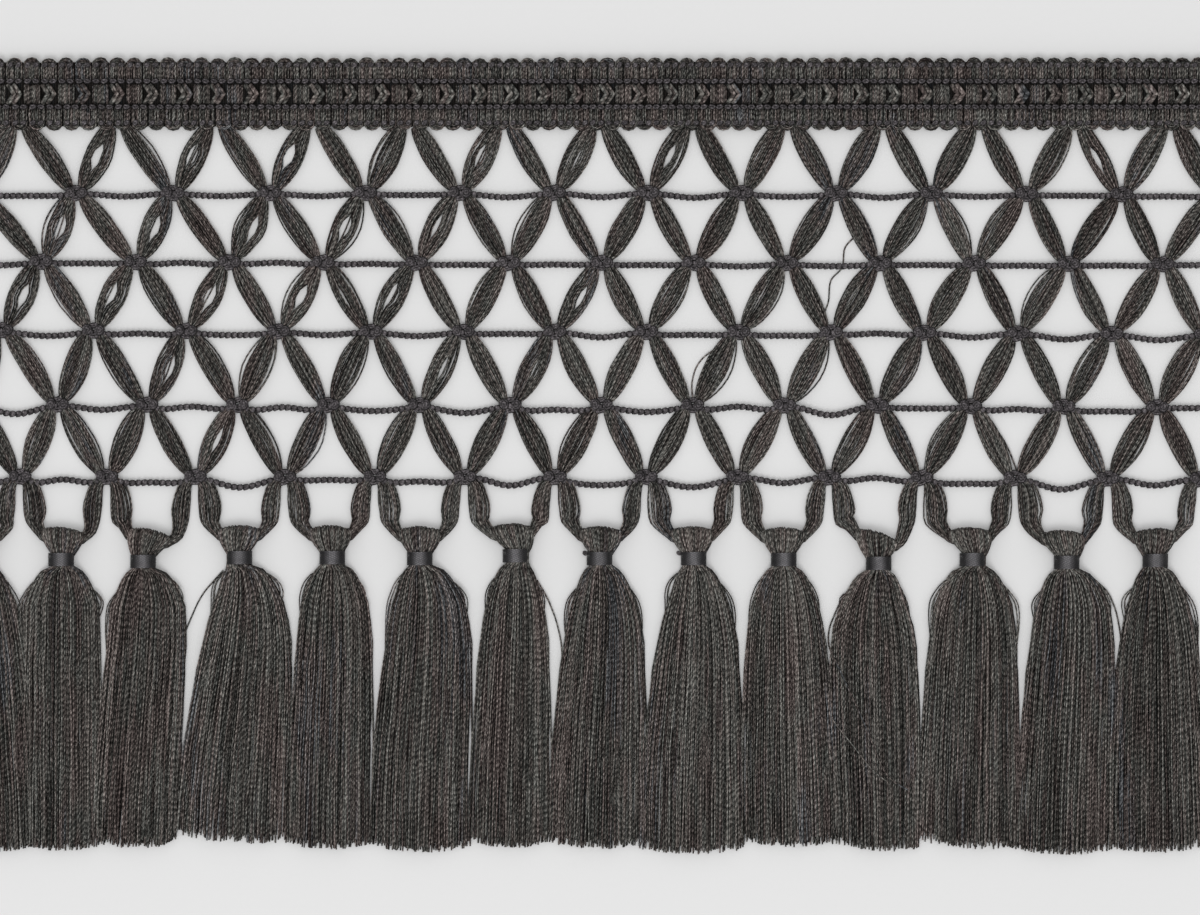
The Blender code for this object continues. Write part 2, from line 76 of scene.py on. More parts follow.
# Heading. The parts of a lobe are so far off the heading's middle, and its two legs off its own
BEAD_ROW = {"count": 83, "first_x": -141.0, "pitch": 3.427, "bow": 3.8}
BEAD_MARGIN = 2.0
LOBE = {"leg": 0.86, "foot": 2.75, "crest": 4.4, "shoulder": 5.7, "centre": 6.3, "turn": 0.5}
LOBE_HEIGHTS = {"foot": 2.0, "crest": 2.72, "shoulder": 2.5, "tip": 1.75}
LOBE_YARN = {"half": 0.8, "thick": 0.22, "loose": 0.2}
LOBE_TALLER = 0.1
LOWER_SHIFT = 1.1
TURN_STEPS = 5
TAPE = {"half": 7.2, "dip": 0.6, "height": 1.45, "steps": 6}
STITCH_ROWS = table(
    "offset height long wide thread turn spread",
    (2.7, 2.55, 0.62, 0.3, 0.32, 0.0, 0.3),
    (6.05, 2.65, 0.42, 0.24, 0.42, 0.5, 0.4),
    rise=0.12, pinch=0.2, segments=6, sides=4,
)
STITCH_STEPS = (-0.25, 0.25)
SQUARE = {"half": 1.68, "reach": 2.1, "edge": 1.5, "high": 2.35, "thick": 0.16, "crown": 0.35, "yarns": 15}
SQUARE_SHARES = (-1.0, -0.8, -0.3, 0.3, 0.8, 1.0)
CHEVRONS = ({"back": -1.4, "point": -0.1}, {"back": -0.3, "point": 1.15})
CHEVRON = {"reach": 2.0, "half": 0.34, "low": 1.8, "high": 2.35, "thick": 0.1, "yarns": 2, "yarn": 0.00038}
CHEVRON_SHARES = (-1.0, -0.6, -0.25, 0.0, 0.25, 0.6, 1.0)

# Lattice. A row's y is given at its left end, middle and right end, and its chain cord sags
ROOT_ROW = {"count": 14, "first_x": -138.6, "pitch": 20.22, "bow": 1.7}
NET_ROWS = table(
    "count first_x pitch bow y sag",
    (14, -126.0, 19.99, 1.1, (55.0, 55.1, 54.6), 0.4),
    (14, -132.2, 19.60, 0.0, (40.8, 40.4, 40.0), 0.4),
    (14, -120.8, 19.41, -0.6, (26.4, 25.9, 25.2), 0.6),
    (14, -127.0, 19.11, -2.2, (10.7, 10.5, 9.9), 0.9),
    (15, -133.7, 18.88, -3.7, (-4.5, -4.6, -5.1), 1.1),
)
BOW_SKEW = 0.6
SPACING_WAVE = {"reach": -0.3, "length": 190.0}
BUNDLE_SEED = 7
BUNDLE_REACH = 15.0
FALLING_HALF = 2.1
RISING_HALF = 2.52
RISING_EXTRA = 0.35
WIDTH_SPREAD = (0.94, 1.04)
BUNDLE_BOW = 0.25
BUNDLE_SHARES = (0.0, 0.07, 0.17, 0.29, 0.42, 0.56, 0.69, 0.81, 0.92, 1.0)
FULLNESS_POWER = 0.78
TIE = {"half": 0.95, "thick": 0.45, "z": 1.2, "x": 1.45, "y": 0.95}
BELLY = {"thick": 0.42, "z": 0.78}
ROOT_TIE = {"spread": 1.5, "half": 1.05, "y": 69.0}
UPPER_BANDS = 2
CHAIN_TAIL_END = 139.0
CHAIN_DROP = 0.3
CHAIN_HEIGHT = 0.95
CHAIN_CLIMB = 0.5
CHAIN_STITCH = {
    "long": 0.42, "wide": 0.28, "rise": 0.3, "pinch": 0.3, "segments": 8, "sides": 5, "turn": 0.3,
    "spread": 0.12,
}
SAG_SPREAD = (0.4, 1.5)
SAG_RIPPLE = 0.9

# Open slits in some bundles: the middle of each, and its half width as a share of the bundle's
EYES = table(
    "x y gap",
    (-101.4, 62.9, 0.46), (-80.6, 62.9, 0.40), (-60.3, 62.3, 0.46), (-19.1, 62.9, 0.35),
    (-1.0, 62.7, 0.13), (19.3, 61.8, 0.30), (109.0, 61.8, 0.32),
    (-109.4, 48.2, 0.43), (-89.0, 47.6, 0.40), (-68.9, 49.2, 0.35), (-49.4, 48.2, 0.43), (-31.1, 48.2, 0.20),
    (-117.2, 32.4, 0.35), (-97.2, 33.1, 0.46), (-78.3, 34.5, 0.43), (-58.6, 34.5, 0.40),
    (-48.9, 34.5, 0.16), (-39.5, 34.5, 0.38), (-0.2, 33.1, 0.35),
    (-86.7, 19.8, 0.40), (-29.0, 18.8, 0.16), (-10.1, 18.8, 0.16), (-77.3, 3.7, 0.16),
)
EYE_NEAR = 3.2
EYE_LENGTH = 0.21
# Share of the yarns that keep out of a slit; the others run across it
CLEAR_OF_SLIT = 0.86

# Hanging loops: stations down one arm, off the knot first and then off the head's top edge
ARM_OFF_KNOT = table(
    "x down half z",
    (1.3, 0.9, 0.95, 1.2),
    (2.2, 1.9, 1.5, 1.1),
    (2.8, 4.4, 2.0, 0.9),
    (3.15, 7.1, 2.15, 0.85),
    (3.2, 9.2, 1.85, 0.9),
    thick=0.5,
)
ARM_OFF_HEAD = table(
    "x down half z",
    (5.6, 0.0, 1.35, 1.3),
    (4.5, 1.5, 0.95, 1.8),
    (3.5, 2.5, 0.75, 2.1),
    thick=0.5,
)
ARM_FULLNESS = {"left": 1.06, "right": 0.88}
ARM_IN_HEAD = {"down": 2.2, "half": 0.7, "z": 2.2, "thick": 0.6}
# An arm no wider than this is pulled tight
ARM_TIGHT = 0.9

# Knots: two rosettes of thread side by side with a smaller ring on each, a ring below and one above
KNOT_RINGS = table(
    "x y z long wide rise thread turn",
    (-1.3, 0.1, 1.75, 0.6, 0.75, 0.2, 0.56, 0.35),
    (1.3, -0.05, 1.75, 0.6, 0.75, 0.2, 0.56, -0.35),
    (-1.3, 0.15, 2.35, 0.3, 0.35, 0.1, 0.42, 0.6),
    (1.3, 0.0, 2.35, 0.3, 0.35, 0.1, 0.42, -0.6),
    (0.0, -1.15, 1.2, 1.1, 0.3, 0.0, 0.36, 0.0),
    (0.0, 0.95, 1.3, 0.9, 0.25, 0.0, 0.36, 0.1),
    pinch=0.1, segments=8, sides=4, spread=0.35,
)
# Each ring is laid twice, this far apart and at two angles
KNOT_GUIDE = 0.01

# Tassels. One row for each: neck off the head's middle, head tilt in degrees, head top off the
# usual line, neck and skirt off the straight line to the hem, the skirt's half width at its
# shoulder, the two lower corners of the skirt, and how much fuller its sides are half way down
HEAD_TOP_Y = -15.2
TASSELS = table(
    "lean tilt rise neck shift shoulder left right belly",
    (0.0, 0, 0.0, 0.0, 0.0, 6.9, (-134.0, -82.4), (-112.5, -82.2)),
    (-0.4, -6, -0.2, 0.4, 0.0, 7.9, (-117.2, -81.8), (-100.4, -82.2)),
    (-1.5, -12, -0.6, 0.0, 1.3, 7.7, (-102.5, -81.2), (-84.4, -81.6)),
    (0.0, 0, 0.2, -0.5, 2.2, 7.2, (-85.3, -79.5), (-60.9, -81.2)),
    (0.6, 0, 0.2, -0.2, 0.5, 6.9, (-61.5, -81.6), (-43.7, -81.8)),
    (0.0, -1, 0.0, 0.1, 1.8, 7.5, (-44.1, -82.0), (-23.1, -82.6)),
    (1.2, 2, 0.6, 0.5, 0.0, 5.7, (-23.5, -81.0), (-6.3, -81.8)),
    (-0.2, -2, 0.0, 0.3, 1.0, 6.6, (-6.9, -81.2), (14.1, -82.0)),
    (0.4, 0, 0.0, 0.0, 1.0, 6.2, (13.0, -82.7), (35.1, -82.7)),
    (0.0, -1, -0.2, -0.1, 0.1, 6.9, (34.0, -81.0), (54.6, -81.4)),
    (0.6, -16, -1.0, -0.3, -1.1, 7.0, (54.0, -81.6), (71.8, -82.6), 1.3),
    (0.8, 0, -0.2, 0.5, 0.4, 8.0, (70.8, -80.7), (92.8, -82.4)),
    (1.0, -1, -0.8, 0.2, 1.5, 7.7, (91.8, -82.8), (112.1, -83.0)),
    (0.0, 2, -0.4, -0.3, 0.5, 6.3, (111.7, -82.6), (133.1, -82.2)),
    belly=0.0,
)
NECK_DROP = 5.3
# The yarn's way from the back of the neck over the loop to the front of the neck; arch and crown
# are how far the outermost yarns lie down the trim and below the middle ones
HEAD_FOLD = table(
    "drop z half thick arch crown",
    (8.0, 1.6, 2.1, 0.6, 0.0, -0.5),
    (6.0, 1.5, 2.1, 0.6, 0.0, -0.5),
    (4.4, 0.75, 3.0, 0.3, 0.2, -0.9),
    (2.6, 0.5, 3.9, 0.25, 0.3, -0.5),
    (1.1, 0.75, 4.2, 0.22, 0.4, -0.3),
    (0.3, 1.4, 4.25, 0.22, 0.6, 0.0),
    (0.1, 2.35, 4.3, 0.22, 0.7, 0.0),
    (0.4, 3.2, 4.35, 0.28, 0.7, 0.3),
    (1.3, 3.75, 4.35, 0.42, 0.6, 0.7),
    (2.5, 3.9, 4.05, 0.55, 0.4, 1.0),
    (3.8, 3.8, 3.45, 0.55, 0.2, 1.3),
    (5.0, 3.55, 2.75, 0.55, 0.0, 1.2),
    (6.0, 3.3, 2.1, 0.6, 0.0, 0.6),
    (8.0, 3.2, 2.1, 0.6, 0.0, 0.5),
)
# Down the skirt: share of the shoulder's half width, share of the way from that to the hem's,
# share of the shift, and height
SKIRT_PROFILE = table(
    "drop shoulder spread shift high",
    (9.2, 0.54, 0.0, 0.45, 3.5),
    (10.4, 0.67, 0.0, 0.6, 3.6),
    (12.0, 0.785, 0.0, 0.75, 3.7),
    (14.0, 0.90, 0.0, 0.92, 3.6),
    (16.2, 1.0, 0.03, 1.0, 3.6),
    (20.0, 1.0, 0.26, 1.0, 3.4),
    (24.5, 1.0, 0.44, 0.95, 3.3),
    (30.0, 1.0, 0.58, 0.8, 3.2),
    (38.0, 1.0, 0.72, 0.55, 3.1),
    (47.0, 1.0, 0.86, 0.3, 3.0),
    (57.0, 1.0, 0.96, 0.1, 2.9),
)
# The hem ends a little below its corners, and its outermost yarns a little above its middle ones
HEM = {"share": 0.492, "high": 2.9, "arch": 1.1, "lower": 1.3}
SKIRT_LAYERS = {"front": 0.68, "back": 0.26, "thick": 0.27, "crown": 0.34}
# Yarn lies tight in the head, and is fully loose this far below the top of the skirt
LOOSE_IN_HEAD = 0.15
LOOSE_RUN = 20.0
# Yarns that bow out beside a skirt: from which row of its profile to which, how far, and how many
STRAYS = {
    "from": (0, 2), "to": (5, 8), "reach": (1.0, 1.9), "tucked": 0.8, "yarns": 3, "spread": 0.3,
    "thick": 0.2, "raggedness": 0.002,
}

# Bindings, and where a little of the thread's end sticks out at the upper left
BINDING = {"start": 5.3, "length": 2.75, "z": 2.35, "half_width": 2.6, "half_height": 2.15, "turn_steps": 18}
BINDING_ENDS = (7, 8)
BINDING_END = {"x": -2.4, "drop": 5.5, "reach": 1.1, "z": 2.2, "half": 0.12, "thick": 0.1, "yarns": 3}
BINDING_END_WAY = ((0.0, 0.0), (-0.7, 0.25), (-1.0, 0.05), (-0.6, -0.3), (0.0, -0.2))

# Single yarns that have slipped out: their ways, with a height where they don't lie low
LOOSE_YARNS = (
    ((-8.6, -26.4), (-6.7, -29.7), (-5.25, -33.1), (-4.2, -36.4), (-3.5, -40.0), (-3.4, -44.5)),
    ((29.6, 22.6), (26.7, 20.7), (24.8, 18.2), (23.9, 14.8), (24.2, 11.8), (25.2, 9.9)),
    ((-74.6, -24.4), (-78.6, -29.0), (-81.4, -34.6), (-83.8, -41.0), (-84.6, -47.0)),
    ((60.0, -24.8), (56.1, -29.5), (53.3, -35.2), (52.6, -39.0), (53.4, -42.0, 2.6), (56.1, -47.8, 4.0),
     (60.3, -57.0, 4.15), (64.5, -66.8, 4.1), (69.3, -70.4, 3.8)),
    ((53.2, -55.4, 3.9), (57.6, -61.0, 4.1), (61.6, -66.0, 4.1), (64.8, -68.6, 4.0)),
    ((108.6, -26.2), (111.6, -29.4), (113.4, -34.2), (114.2, -40.4), (114.0, -46.6)),
    ((80.4, 12.6), (84.6, 8.4), (89.0, 3.8), (91.2, -0.6), (92.4, -3.8)),
    ((59.8, 47.0), (56.2, 43.6), (55.6, 39.4), (53.2, 36.6), (52.6, 32.0), (51.2, 28.6)),
)
LOOSE_YARN = {"z": 0.7, "half": 0.1, "loose": 0.5}
# A single yarn's radius as a share of the others'
FINE_YARN = 0.8

# How the yarn lies in each kind of piece: steps between two points of its way, sides of a yarn, how
# unevenly the yarns share the width, how far and over what length one wanders in metres, how many
# bulge out and how far as a share of the width, and the seed
YARN_LAY = table_by_kind(
    "bands squares arrows upper lower loops loose tassel strays end",
    "smoothing sides jitter wander wander_length stray_share stray_reach seed",
    (1, 3, 0.7, 0.0008, 0.0014, 0.0, 0.0, 11),
    (1, 3, 0.3, 0.0002, 0.002, 0.0, 0.0, 21),
    (1, 6, 0.3, 0.0001, 0.002, 0.0, 0.0, 22),
    (1, 3, 0.55, 0.0005, 0.006, 0.12, 0.32, 41),
    (1, 3, 0.55, 0.0005, 0.006, 0.12, 0.32, 42),
    (2, 3, 0.9, 0.0006, 0.006, 0.12, 0.25, 43),
    (5, 4, 0.0, 0.0006, 0.005, 0.0, 0.0, 44),
    (1, 3, 0.8, 0.0012, 0.012, 0.2, 0.07, 100),
    (3, 3, 1.0, 0.0009, 0.012, 0.0, 0.0, 300),
    (2, 5, 0.6, 0.0002, 0.002, 0.0, 0.0, 200),
)
# A yarn that bulges has at least this share of the full reach
STRAY_LEAST = 0.4
# How far apart two yarns are in the noise that makes them wander
LANE_APART = 7.31
STITCH_SEED = 31
CHAIN_SEED = 51
KNOT_SEED = 61

# Yarn's twist: how much its pitch slips and over what scale, and how soft its plies' edges are
TWIST = {"scale": 330.0, "slip": 9.0, "start": 40.0, "edge": 0.35}
# Heather yarn: scales of its patches, flecks, grain and fuzz, the part of each noise that is
# stretched to the whole way, what picks a fibre's colour, and what makes a point paler
HEATHER_SCALE = {
    "patch": (170.0, 28.0, 170.0), "yarn": 900.0, "fleck": 1500.0, "grain": 1500.0, "fuzz": 5200.0,
}
HEATHER_PART = {"patch": (0.33, 0.67), "fleck": (0.38, 0.62), "grain": (0.4, 0.6)}
HEATHER_HUE = {"yarn": 0.3, "patch": 0.65}
HEATHER_FIBRES = (
    (0.15, "red"), (0.34, "brown"), (0.50, "green"), (0.60, "brown"), (0.72, "red"), (0.86, "blue"),
)
HEATHER_MIX = {"ply": 0.26, "fleck": 0.26, "grain": 0.1, "yarn": 0.38}
HEATHER_RELIEF = {"ridge": 0.8, "fuzz": 0.35, "strength": 0.8, "depth": 0.0001}
# Painted shade down the sides of a yarn: how dark they are, and how soon they darken
HEATHER_PAINTED_SHADE = (0.15, 0.9)
# Length of a twist in millimetres, lightness, and how strong the flecks are
HEATHERS = table_by_kind(
    "heather_heading heather_bundle heather_tassel heather_arrow",
    "lay light flecks",
    (1.1, 1.58, 3.0),
    (1.3, 1.4, 3.0),
    (1.3, 1.58, 3.0),
    (1.5, 1.6, 2.1),
)
# Threads: the property with their colour, length of a twist, roughness, contrast of the painted shade
# in the grooves and of the paler ply, and how dark the painted shade makes the sides of the thread,
# or of the whole wound neck, and how soon they darken
THREADS = table_by_kind(
    "stitch_thread satin_thread",
    "colour lay gloss contrast sides",
    ("thread", 1.1, 0.65, 0.7, (0.2, 1.5)),
    # The binding's high power leaves painted shade at the neck's sides and a painted highlight down its
    # middle
    ("binding", 0.8, 0.4, 0.5, (0.13, 10.0, True)),
)
THREAD_SCALE = {"patch": 700.0, "fibre": 4200.0}
# The woven ground: pitch of its ribs and of the threads across them, scale of its patches, lightness,
# kept low as painted shade for the ground seen between the yarns above it
WEAVE = {"rib": 0.55, "pick": 0.38, "patch": (900.0, 260.0, 900.0), "light": 0.22}
PAPER_GRAIN = 900.0
PAPER_TONES = (0.795, 0.805)

# Camera and light
CAMERA = {"x": 4.62, "y": -0.63, "width": 252.4, "distance": 1300.0}
SENSOR_WIDTH = 36.0
FLOOR_SIZE = 3000.0
LIGHTS = (
    {"name": "key", "place": (-250.0, -800.0, 1800.0), "size": 1000.0, "power": 10.1},
    {"name": "top", "place": (150.0, 100.0, 1900.0), "size": 700.0, "power": 6.1},
)
WORLD_STRENGTH = 0.6


def count_property(name, description, default, least):
    return IntProperty(name=name, description=description, default=default, min=least)


def length_property(name, description, default):
    return FloatProperty(name=name, description=description, default=default, unit="LENGTH", precision=5)


def colour_property(name, description, default):
    return FloatVectorProperty(
        name=name, description=description, default=default, subtype="COLOR", min=0, max=1
    )


class HeadingSizes(bpy.types.PropertyGroup):
    """Sizes of the braided heading."""

    strands: count_property("Yarns in a lobe", "Yarns side by side in each edge loop", 7, 2)
    steps: count_property("Smoothing", "Steps between two points of a yarn's way", 1, 1)
    yarn: length_property("Yarn radius", "Radius of one yarn of the bands", 0.00019)


class LatticeSizes(bpy.types.PropertyGroup):
    """Sizes of the lattice's bundles and chain cords."""

    strands: count_property("Yarns in a bundle", "Yarns laid side by side", 23, 3)
    loop_strands: count_property("Yarns in a loop", "Yarns in a hanging loop", 20, 3)
    yarn: length_property("Yarn radius", "Radius of one yarn", 0.00021)
    stitch_pitch: length_property("Chain stitch", "Length of one chain stitch", 0.00126)
    thread: length_property("Chain thread radius", "Radius of the chain's thread", 0.00047)


class TasselSizes(bpy.types.PropertyGroup):
    """Sizes of the tassels."""

    strands: count_property("Yarns in a tassel", "Yarns folded over the loop", 106, 8)
    yarn: length_property("Yarn radius", "Radius of one yarn", 0.00021)
    ragged: length_property("Raggedness", "How far the shortest yarns end above the hem", 0.0024)
    turns: count_property("Binding turns", "Turns of thread round a neck", 11, 2)
    thread: length_property("Binding thread radius", "Radius of the wound thread", 0.00015)


class YarnColours(bpy.types.PropertyGroup):
    """Colours of the fibres that the heather yarn mixes, and of the threads."""

    shade: colour_property("Shade", "Darkest fibre", (0.020, 0.017, 0.016))
    brown: colour_property("Brown", "Main fibre", (0.100, 0.086, 0.076))
    green: colour_property("Green-grey", "Cool fibre", (0.088, 0.094, 0.085))
    blue: colour_property("Blue-grey", "Cold fibre", (0.080, 0.090, 0.103))
    red: colour_property("Red-brown", "Warm fibre", (0.110, 0.076, 0.070))
    pale: colour_property("Pale", "Lightest fibre", (0.185, 0.176, 0.165))
    thread: colour_property("Stitching thread", "Chains, knots and stitches", (0.113, 0.102, 0.108))
    binding: colour_property("Binding thread", "Wound round the necks", (0.160, 0.155, 0.163))


# Node trees


class Graph:
    """Adds nodes to one tree and joins them."""

    def __init__(self, tree):
        self.tree = tree

    def add(self, kind, inputs=(), **settings):
        node = self.tree.nodes.new(kind)
        for name, value in settings.items():
            setattr(node, name, value)
        for socket, value in dict(inputs).items():
            if isinstance(value, bpy.types.NodeSocket):
                self.tree.links.new(value, node.inputs[socket])
            else:
                node.inputs[socket].default_value = value
        return node

    def first(self, kind, inputs=(), **settings):
        """Adds a node and returns its first output."""
        return self.add(kind, inputs, **settings).outputs[0]

    def math(self, operation, *values):
        return self.first("ShaderNodeMath", enumerate(values), operation=operation)

    def times(self, product, *others):
        for value in others:
            product = self.math("MULTIPLY", product, value)
        return product

    def vector(self, operation, *values):
        return self.first("ShaderNodeVectorMath", enumerate(values), operation=operation)

    def scale(self, vector, factor):
        return self.first("ShaderNodeVectorMath", {0: vector, 3: factor}, operation="SCALE")

    def pack(self, x=0.0, y=0.0, z=0.0):
        return self.first("ShaderNodeCombineXYZ", {0: x, 1: y, 2: z})

    def unpack(self, vector):
        return self.add("ShaderNodeSeparateXYZ", {0: vector}).outputs

    def noise(self, vector, scale, detail=2.0, output="Fac", dimensions="3D"):
        inputs = {"Vector": vector, "Scale": scale, "Detail": detail}
        return self.add("ShaderNodeTexNoise", inputs, noise_dimensions=dimensions).outputs[output]

    def chance(self, low, high, seed, **inputs):
        """A random number between the two for each element."""
        inputs = {2: low, 3: high, "Seed": seed, **inputs}
        return self.add("FunctionNodeRandomValue", inputs, data_type="FLOAT").outputs[1]

    def place(self):
        return self.first("GeometryNodeInputPosition")

    def along(self):
        """How far along its line a point is, in metres."""
        return self.add("GeometryNodeSplineParameter").outputs["Length"]


def geometry_tree(name, **inputs):
    """A new tree with named inputs, given by kind; its graph and those inputs."""
    tree = bpy.data.node_groups.new(name, "GeometryNodeTree")
    sockets = [(title, kind) for kind, titles in inputs.items() for title in titles.split(", ")]
    for title, kind in [("Geometry", "Geometry"), *sockets, ("Material", "Material")]:
        tree.interface.new_socket(title, in_out="INPUT", socket_type=f"NodeSocket{kind}")
    tree.interface.new_socket("Geometry", in_out="OUTPUT", socket_type="NodeSocketGeometry")
    graph = Graph(tree)
    return graph, graph.add("NodeGroupInput").outputs


def end_tree(graph, geometry, material):
    """Every tree ends with plain faces and their material."""
    smooth = graph.first("GeometryNodeSetShadeSmooth", {"Geometry": geometry})
    real = graph.first("GeometryNodeRealizeInstances", {"Geometry": smooth})
    painted = graph.first("GeometryNodeSetMaterial", {"Geometry": real, "Material": material})
    graph.add("NodeGroupOutput", {0: painted})
    return graph.tree


def named(graph, name, kind="FLOAT"):
    return graph.first("GeometryNodeInputNamedAttribute", {"Name": name}, data_type=kind)


def store(graph, geometry, name, value, kind="FLOAT"):
    inputs = {"Geometry": geometry, "Name": name, "Value": value}
    return graph.first("GeometryNodeStoreNamedAttribute", inputs, data_type=kind, domain="POINT")


def sweep(graph, curve, sides, radius):
    """A yarn along a curve; each point knows where it is around it and how far it looks up or down, which
    the materials use for painted shade.
    """
    ring = graph.first("GeometryNodeCurvePrimitiveCircle", {"Resolution": sides, "Radius": radius})
    ring = store(graph, ring, "around", graph.vector("NORMALIZE", graph.place()), "FLOAT_VECTOR")
    faces = graph.first(
        "GeometryNodeCurveToMesh", {"Curve": curve, "Profile Curve": ring, "Scale": 1.0, "Fill Caps": True}
    )
    return store(graph, faces, "upward", graph.unpack(graph.first("GeometryNodeInputNormal"))[2])


def lay_yarn_tree():
    """Lays yarns side by side along each guide line, within its width and thickness."""
    graph, given = geometry_tree(
        "Lay yarn", Int="Yarns, Smoothing, Sides, Seed",
        Float="Yarn Radius, Jitter, Wander, Wander Length, Stray Share, Stray Reach, Raggedness",
    )
    m, v, times = graph.math, graph.vector, graph.times
    curve = graph.first("GeometryNodeMeshToCurve", {"Mesh": given["Geometry"]})
    curve = graph.first("GeometryNodeCurveSplineType", {"Curve": curve}, spline_type="CATMULL_ROM")
    steps = {"Geometry": curve, "Resolution": given["Smoothing"]}
    curve = graph.first("GeometryNodeSetSplineResolution", steps)
    curve = graph.first("GeometryNodeResampleCurve", {"Curve": curve}, mode="EVALUATED")
    copies = graph.add(
        "GeometryNodeDuplicateElements", {"Geometry": curve, "Amount": given["Yarns"]}, domain="SPLINE"
    )
    index = graph.first("GeometryNodeInputIndex")
    yarn = graph.first("GeometryNodeFieldOnDomain", {0: index}, domain="CURVE", data_type="INT")

    def chance(low, high, salt):
        return graph.chance(low, high, m("ADD", given["Seed"], float(salt)), ID=yarn)

    lane = m("ADD", copies.outputs[1], 0.5)
    lane = m("ADD", lane, times(chance(-0.5, 0.5, 1), given["Jitter"]))
    lane = m("SUBTRACT", m("DIVIDE", times(lane, 2.0), given["Yarns"]), 1.0)
    room = m("SQRT", m("MAXIMUM", 0.0, m("SUBTRACT", 1.0, times(lane, lane))))
    level = times(chance(-1.0, 1.0, 2), room)
    loose = named(graph, "loose")
    over = m("SUBTRACT", chance(0.0, 1.0, 3), m("SUBTRACT", 1.0, given["Stray Share"]))
    stray = times(m("GREATER_THAN", over, 0.0), chance(STRAY_LEAST, 1.0, 4))
    bulge = m("ADD", 1.0, times(stray, given["Stray Reach"], loose))
    keeps = m("LESS_THAN", chance(0.0, 1.0, 5), CLEAR_OF_SLIT)
    away = m("SIGN", m("SUBTRACT", lane, named(graph, "split_at")))
    push = times(away, named(graph, "split"), m("SUBTRACT", 1.0, m("ABSOLUTE", lane)))
    sideways = m("ADD", times(lane, bulge), times(push, keeps))

    where = graph.pack(m("DIVIDE", graph.along(), given["Wander Length"]), times(yarn, LANE_APART))
    ripple = graph.noise(where, 1.0, 1.0, "Color", "2D")
    ripple = graph.scale(v("SUBTRACT", ripple, (0.5, 0.5, 0.5)), times(given["Wander"], loose))
    ripple = graph.unpack(ripple)
    reach = named(graph, "reach", "FLOAT_VECTOR")
    over_way = v("NORMALIZE", v("CROSS_PRODUCT", graph.first("GeometryNodeInputTangent"), reach))
    shift = graph.scale(reach, sideways)
    shift = v("ADD", shift, graph.scale(v("NORMALIZE", reach), ripple[0]))
    lift = m("ADD", times(level, named(graph, "thick")), ripple[1])
    shift = v("ADD", shift, graph.scale(over_way, lift))
    fall = graph.scale(named(graph, "crown", "FLOAT_VECTOR"), times(lane, lane))
    x, y, z = graph.unpack(v("ADD", graph.place(), v("SUBTRACT", shift, fall)))
    place = graph.pack(x, y, m("MAXIMUM", z, given["Yarn Radius"]))
    laid = graph.first("GeometryNodeSetPosition", {"Geometry": copies.outputs[0], "Position": place})

    length = graph.first("GeometryNodeSplineLength")
    first_cut = m("DIVIDE", times(chance(0.0, 1.0, 6), given["Raggedness"]), length)
    last_cut = m("DIVIDE", times(chance(0.0, 1.0, 7), given["Raggedness"]), length)
    ends = {"Curve": laid, 2: first_cut, 3: m("SUBTRACT", 1.0, last_cut)}
    cut = graph.first("GeometryNodeTrimCurve", ends, mode="FACTOR")
    cut = store(graph, cut, "along", graph.along())
    cut = store(graph, cut, "tint", chance(0.0, 1.0, 8))
    faces = sweep(graph, cut, given["Sides"], given["Yarn Radius"])
    return end_tree(graph, faces, given["Material"])


def set_stitches_tree():
    """Sets one ring of thread at each point of a guide line, its long way along the line."""
    graph, given = geometry_tree(
        "Set stitches", Int="Segments, Sides, Seed",
        Float="Half Length, Half Width, Rise, Pinch, Thread Radius, Turn, Turn Spread",
    )
    m, times = graph.math, graph.times
    curve = graph.first("GeometryNodeMeshToCurve", {"Mesh": given["Geometry"]})
    points = graph.add("GeometryNodeCurveToPoints", {"Curve": curve}, mode="EVALUATED").outputs
    ring = graph.first("GeometryNodeCurvePrimitiveCircle", {"Resolution": given["Segments"], "Radius": 1.0})
    x, y, _ = graph.unpack(graph.place())
    narrow = m("SUBTRACT", 1.0, times(given["Pinch"], x))
    width = times(y, given["Half Width"], narrow)
    shape = graph.pack(times(x, given["Half Length"]), width, times(x, given["Rise"]))
    ring = graph.first("GeometryNodeSetPosition", {"Geometry": ring, "Position": shape})
    ring = store(graph, ring, "along", graph.along())
    stitch = sweep(graph, ring, given["Sides"], given["Thread Radius"])
    stitch = graph.first("GeometryNodeSetShadeSmooth", {"Geometry": stitch})
    spread, seed = given["Turn Spread"], given["Seed"]
    angle = m("ADD", given["Turn"], graph.chance(times(spread, -1.0), spread, seed))
    turn = graph.first("FunctionNodeEulerToRotation", {0: graph.pack(0.0, 0.0, angle)})
    axes = {"primary_axis": "X", "secondary_axis": "Z"}
    facing = graph.first("FunctionNodeAxesToRotation", {0: points["Tangent"], 1: UP}, **axes)
    turned = graph.first("FunctionNodeRotateRotation", {0: facing, 1: turn}, rotation_space="LOCAL")
    cloud = store(graph, points["Points"], "tint", graph.chance(0.0, 1.0, seed))
    inputs = {"Points": cloud, "Instance": stitch, "Rotation": turned}
    return end_tree(graph, graph.first("GeometryNodeInstanceOnPoints", inputs), given["Material"])


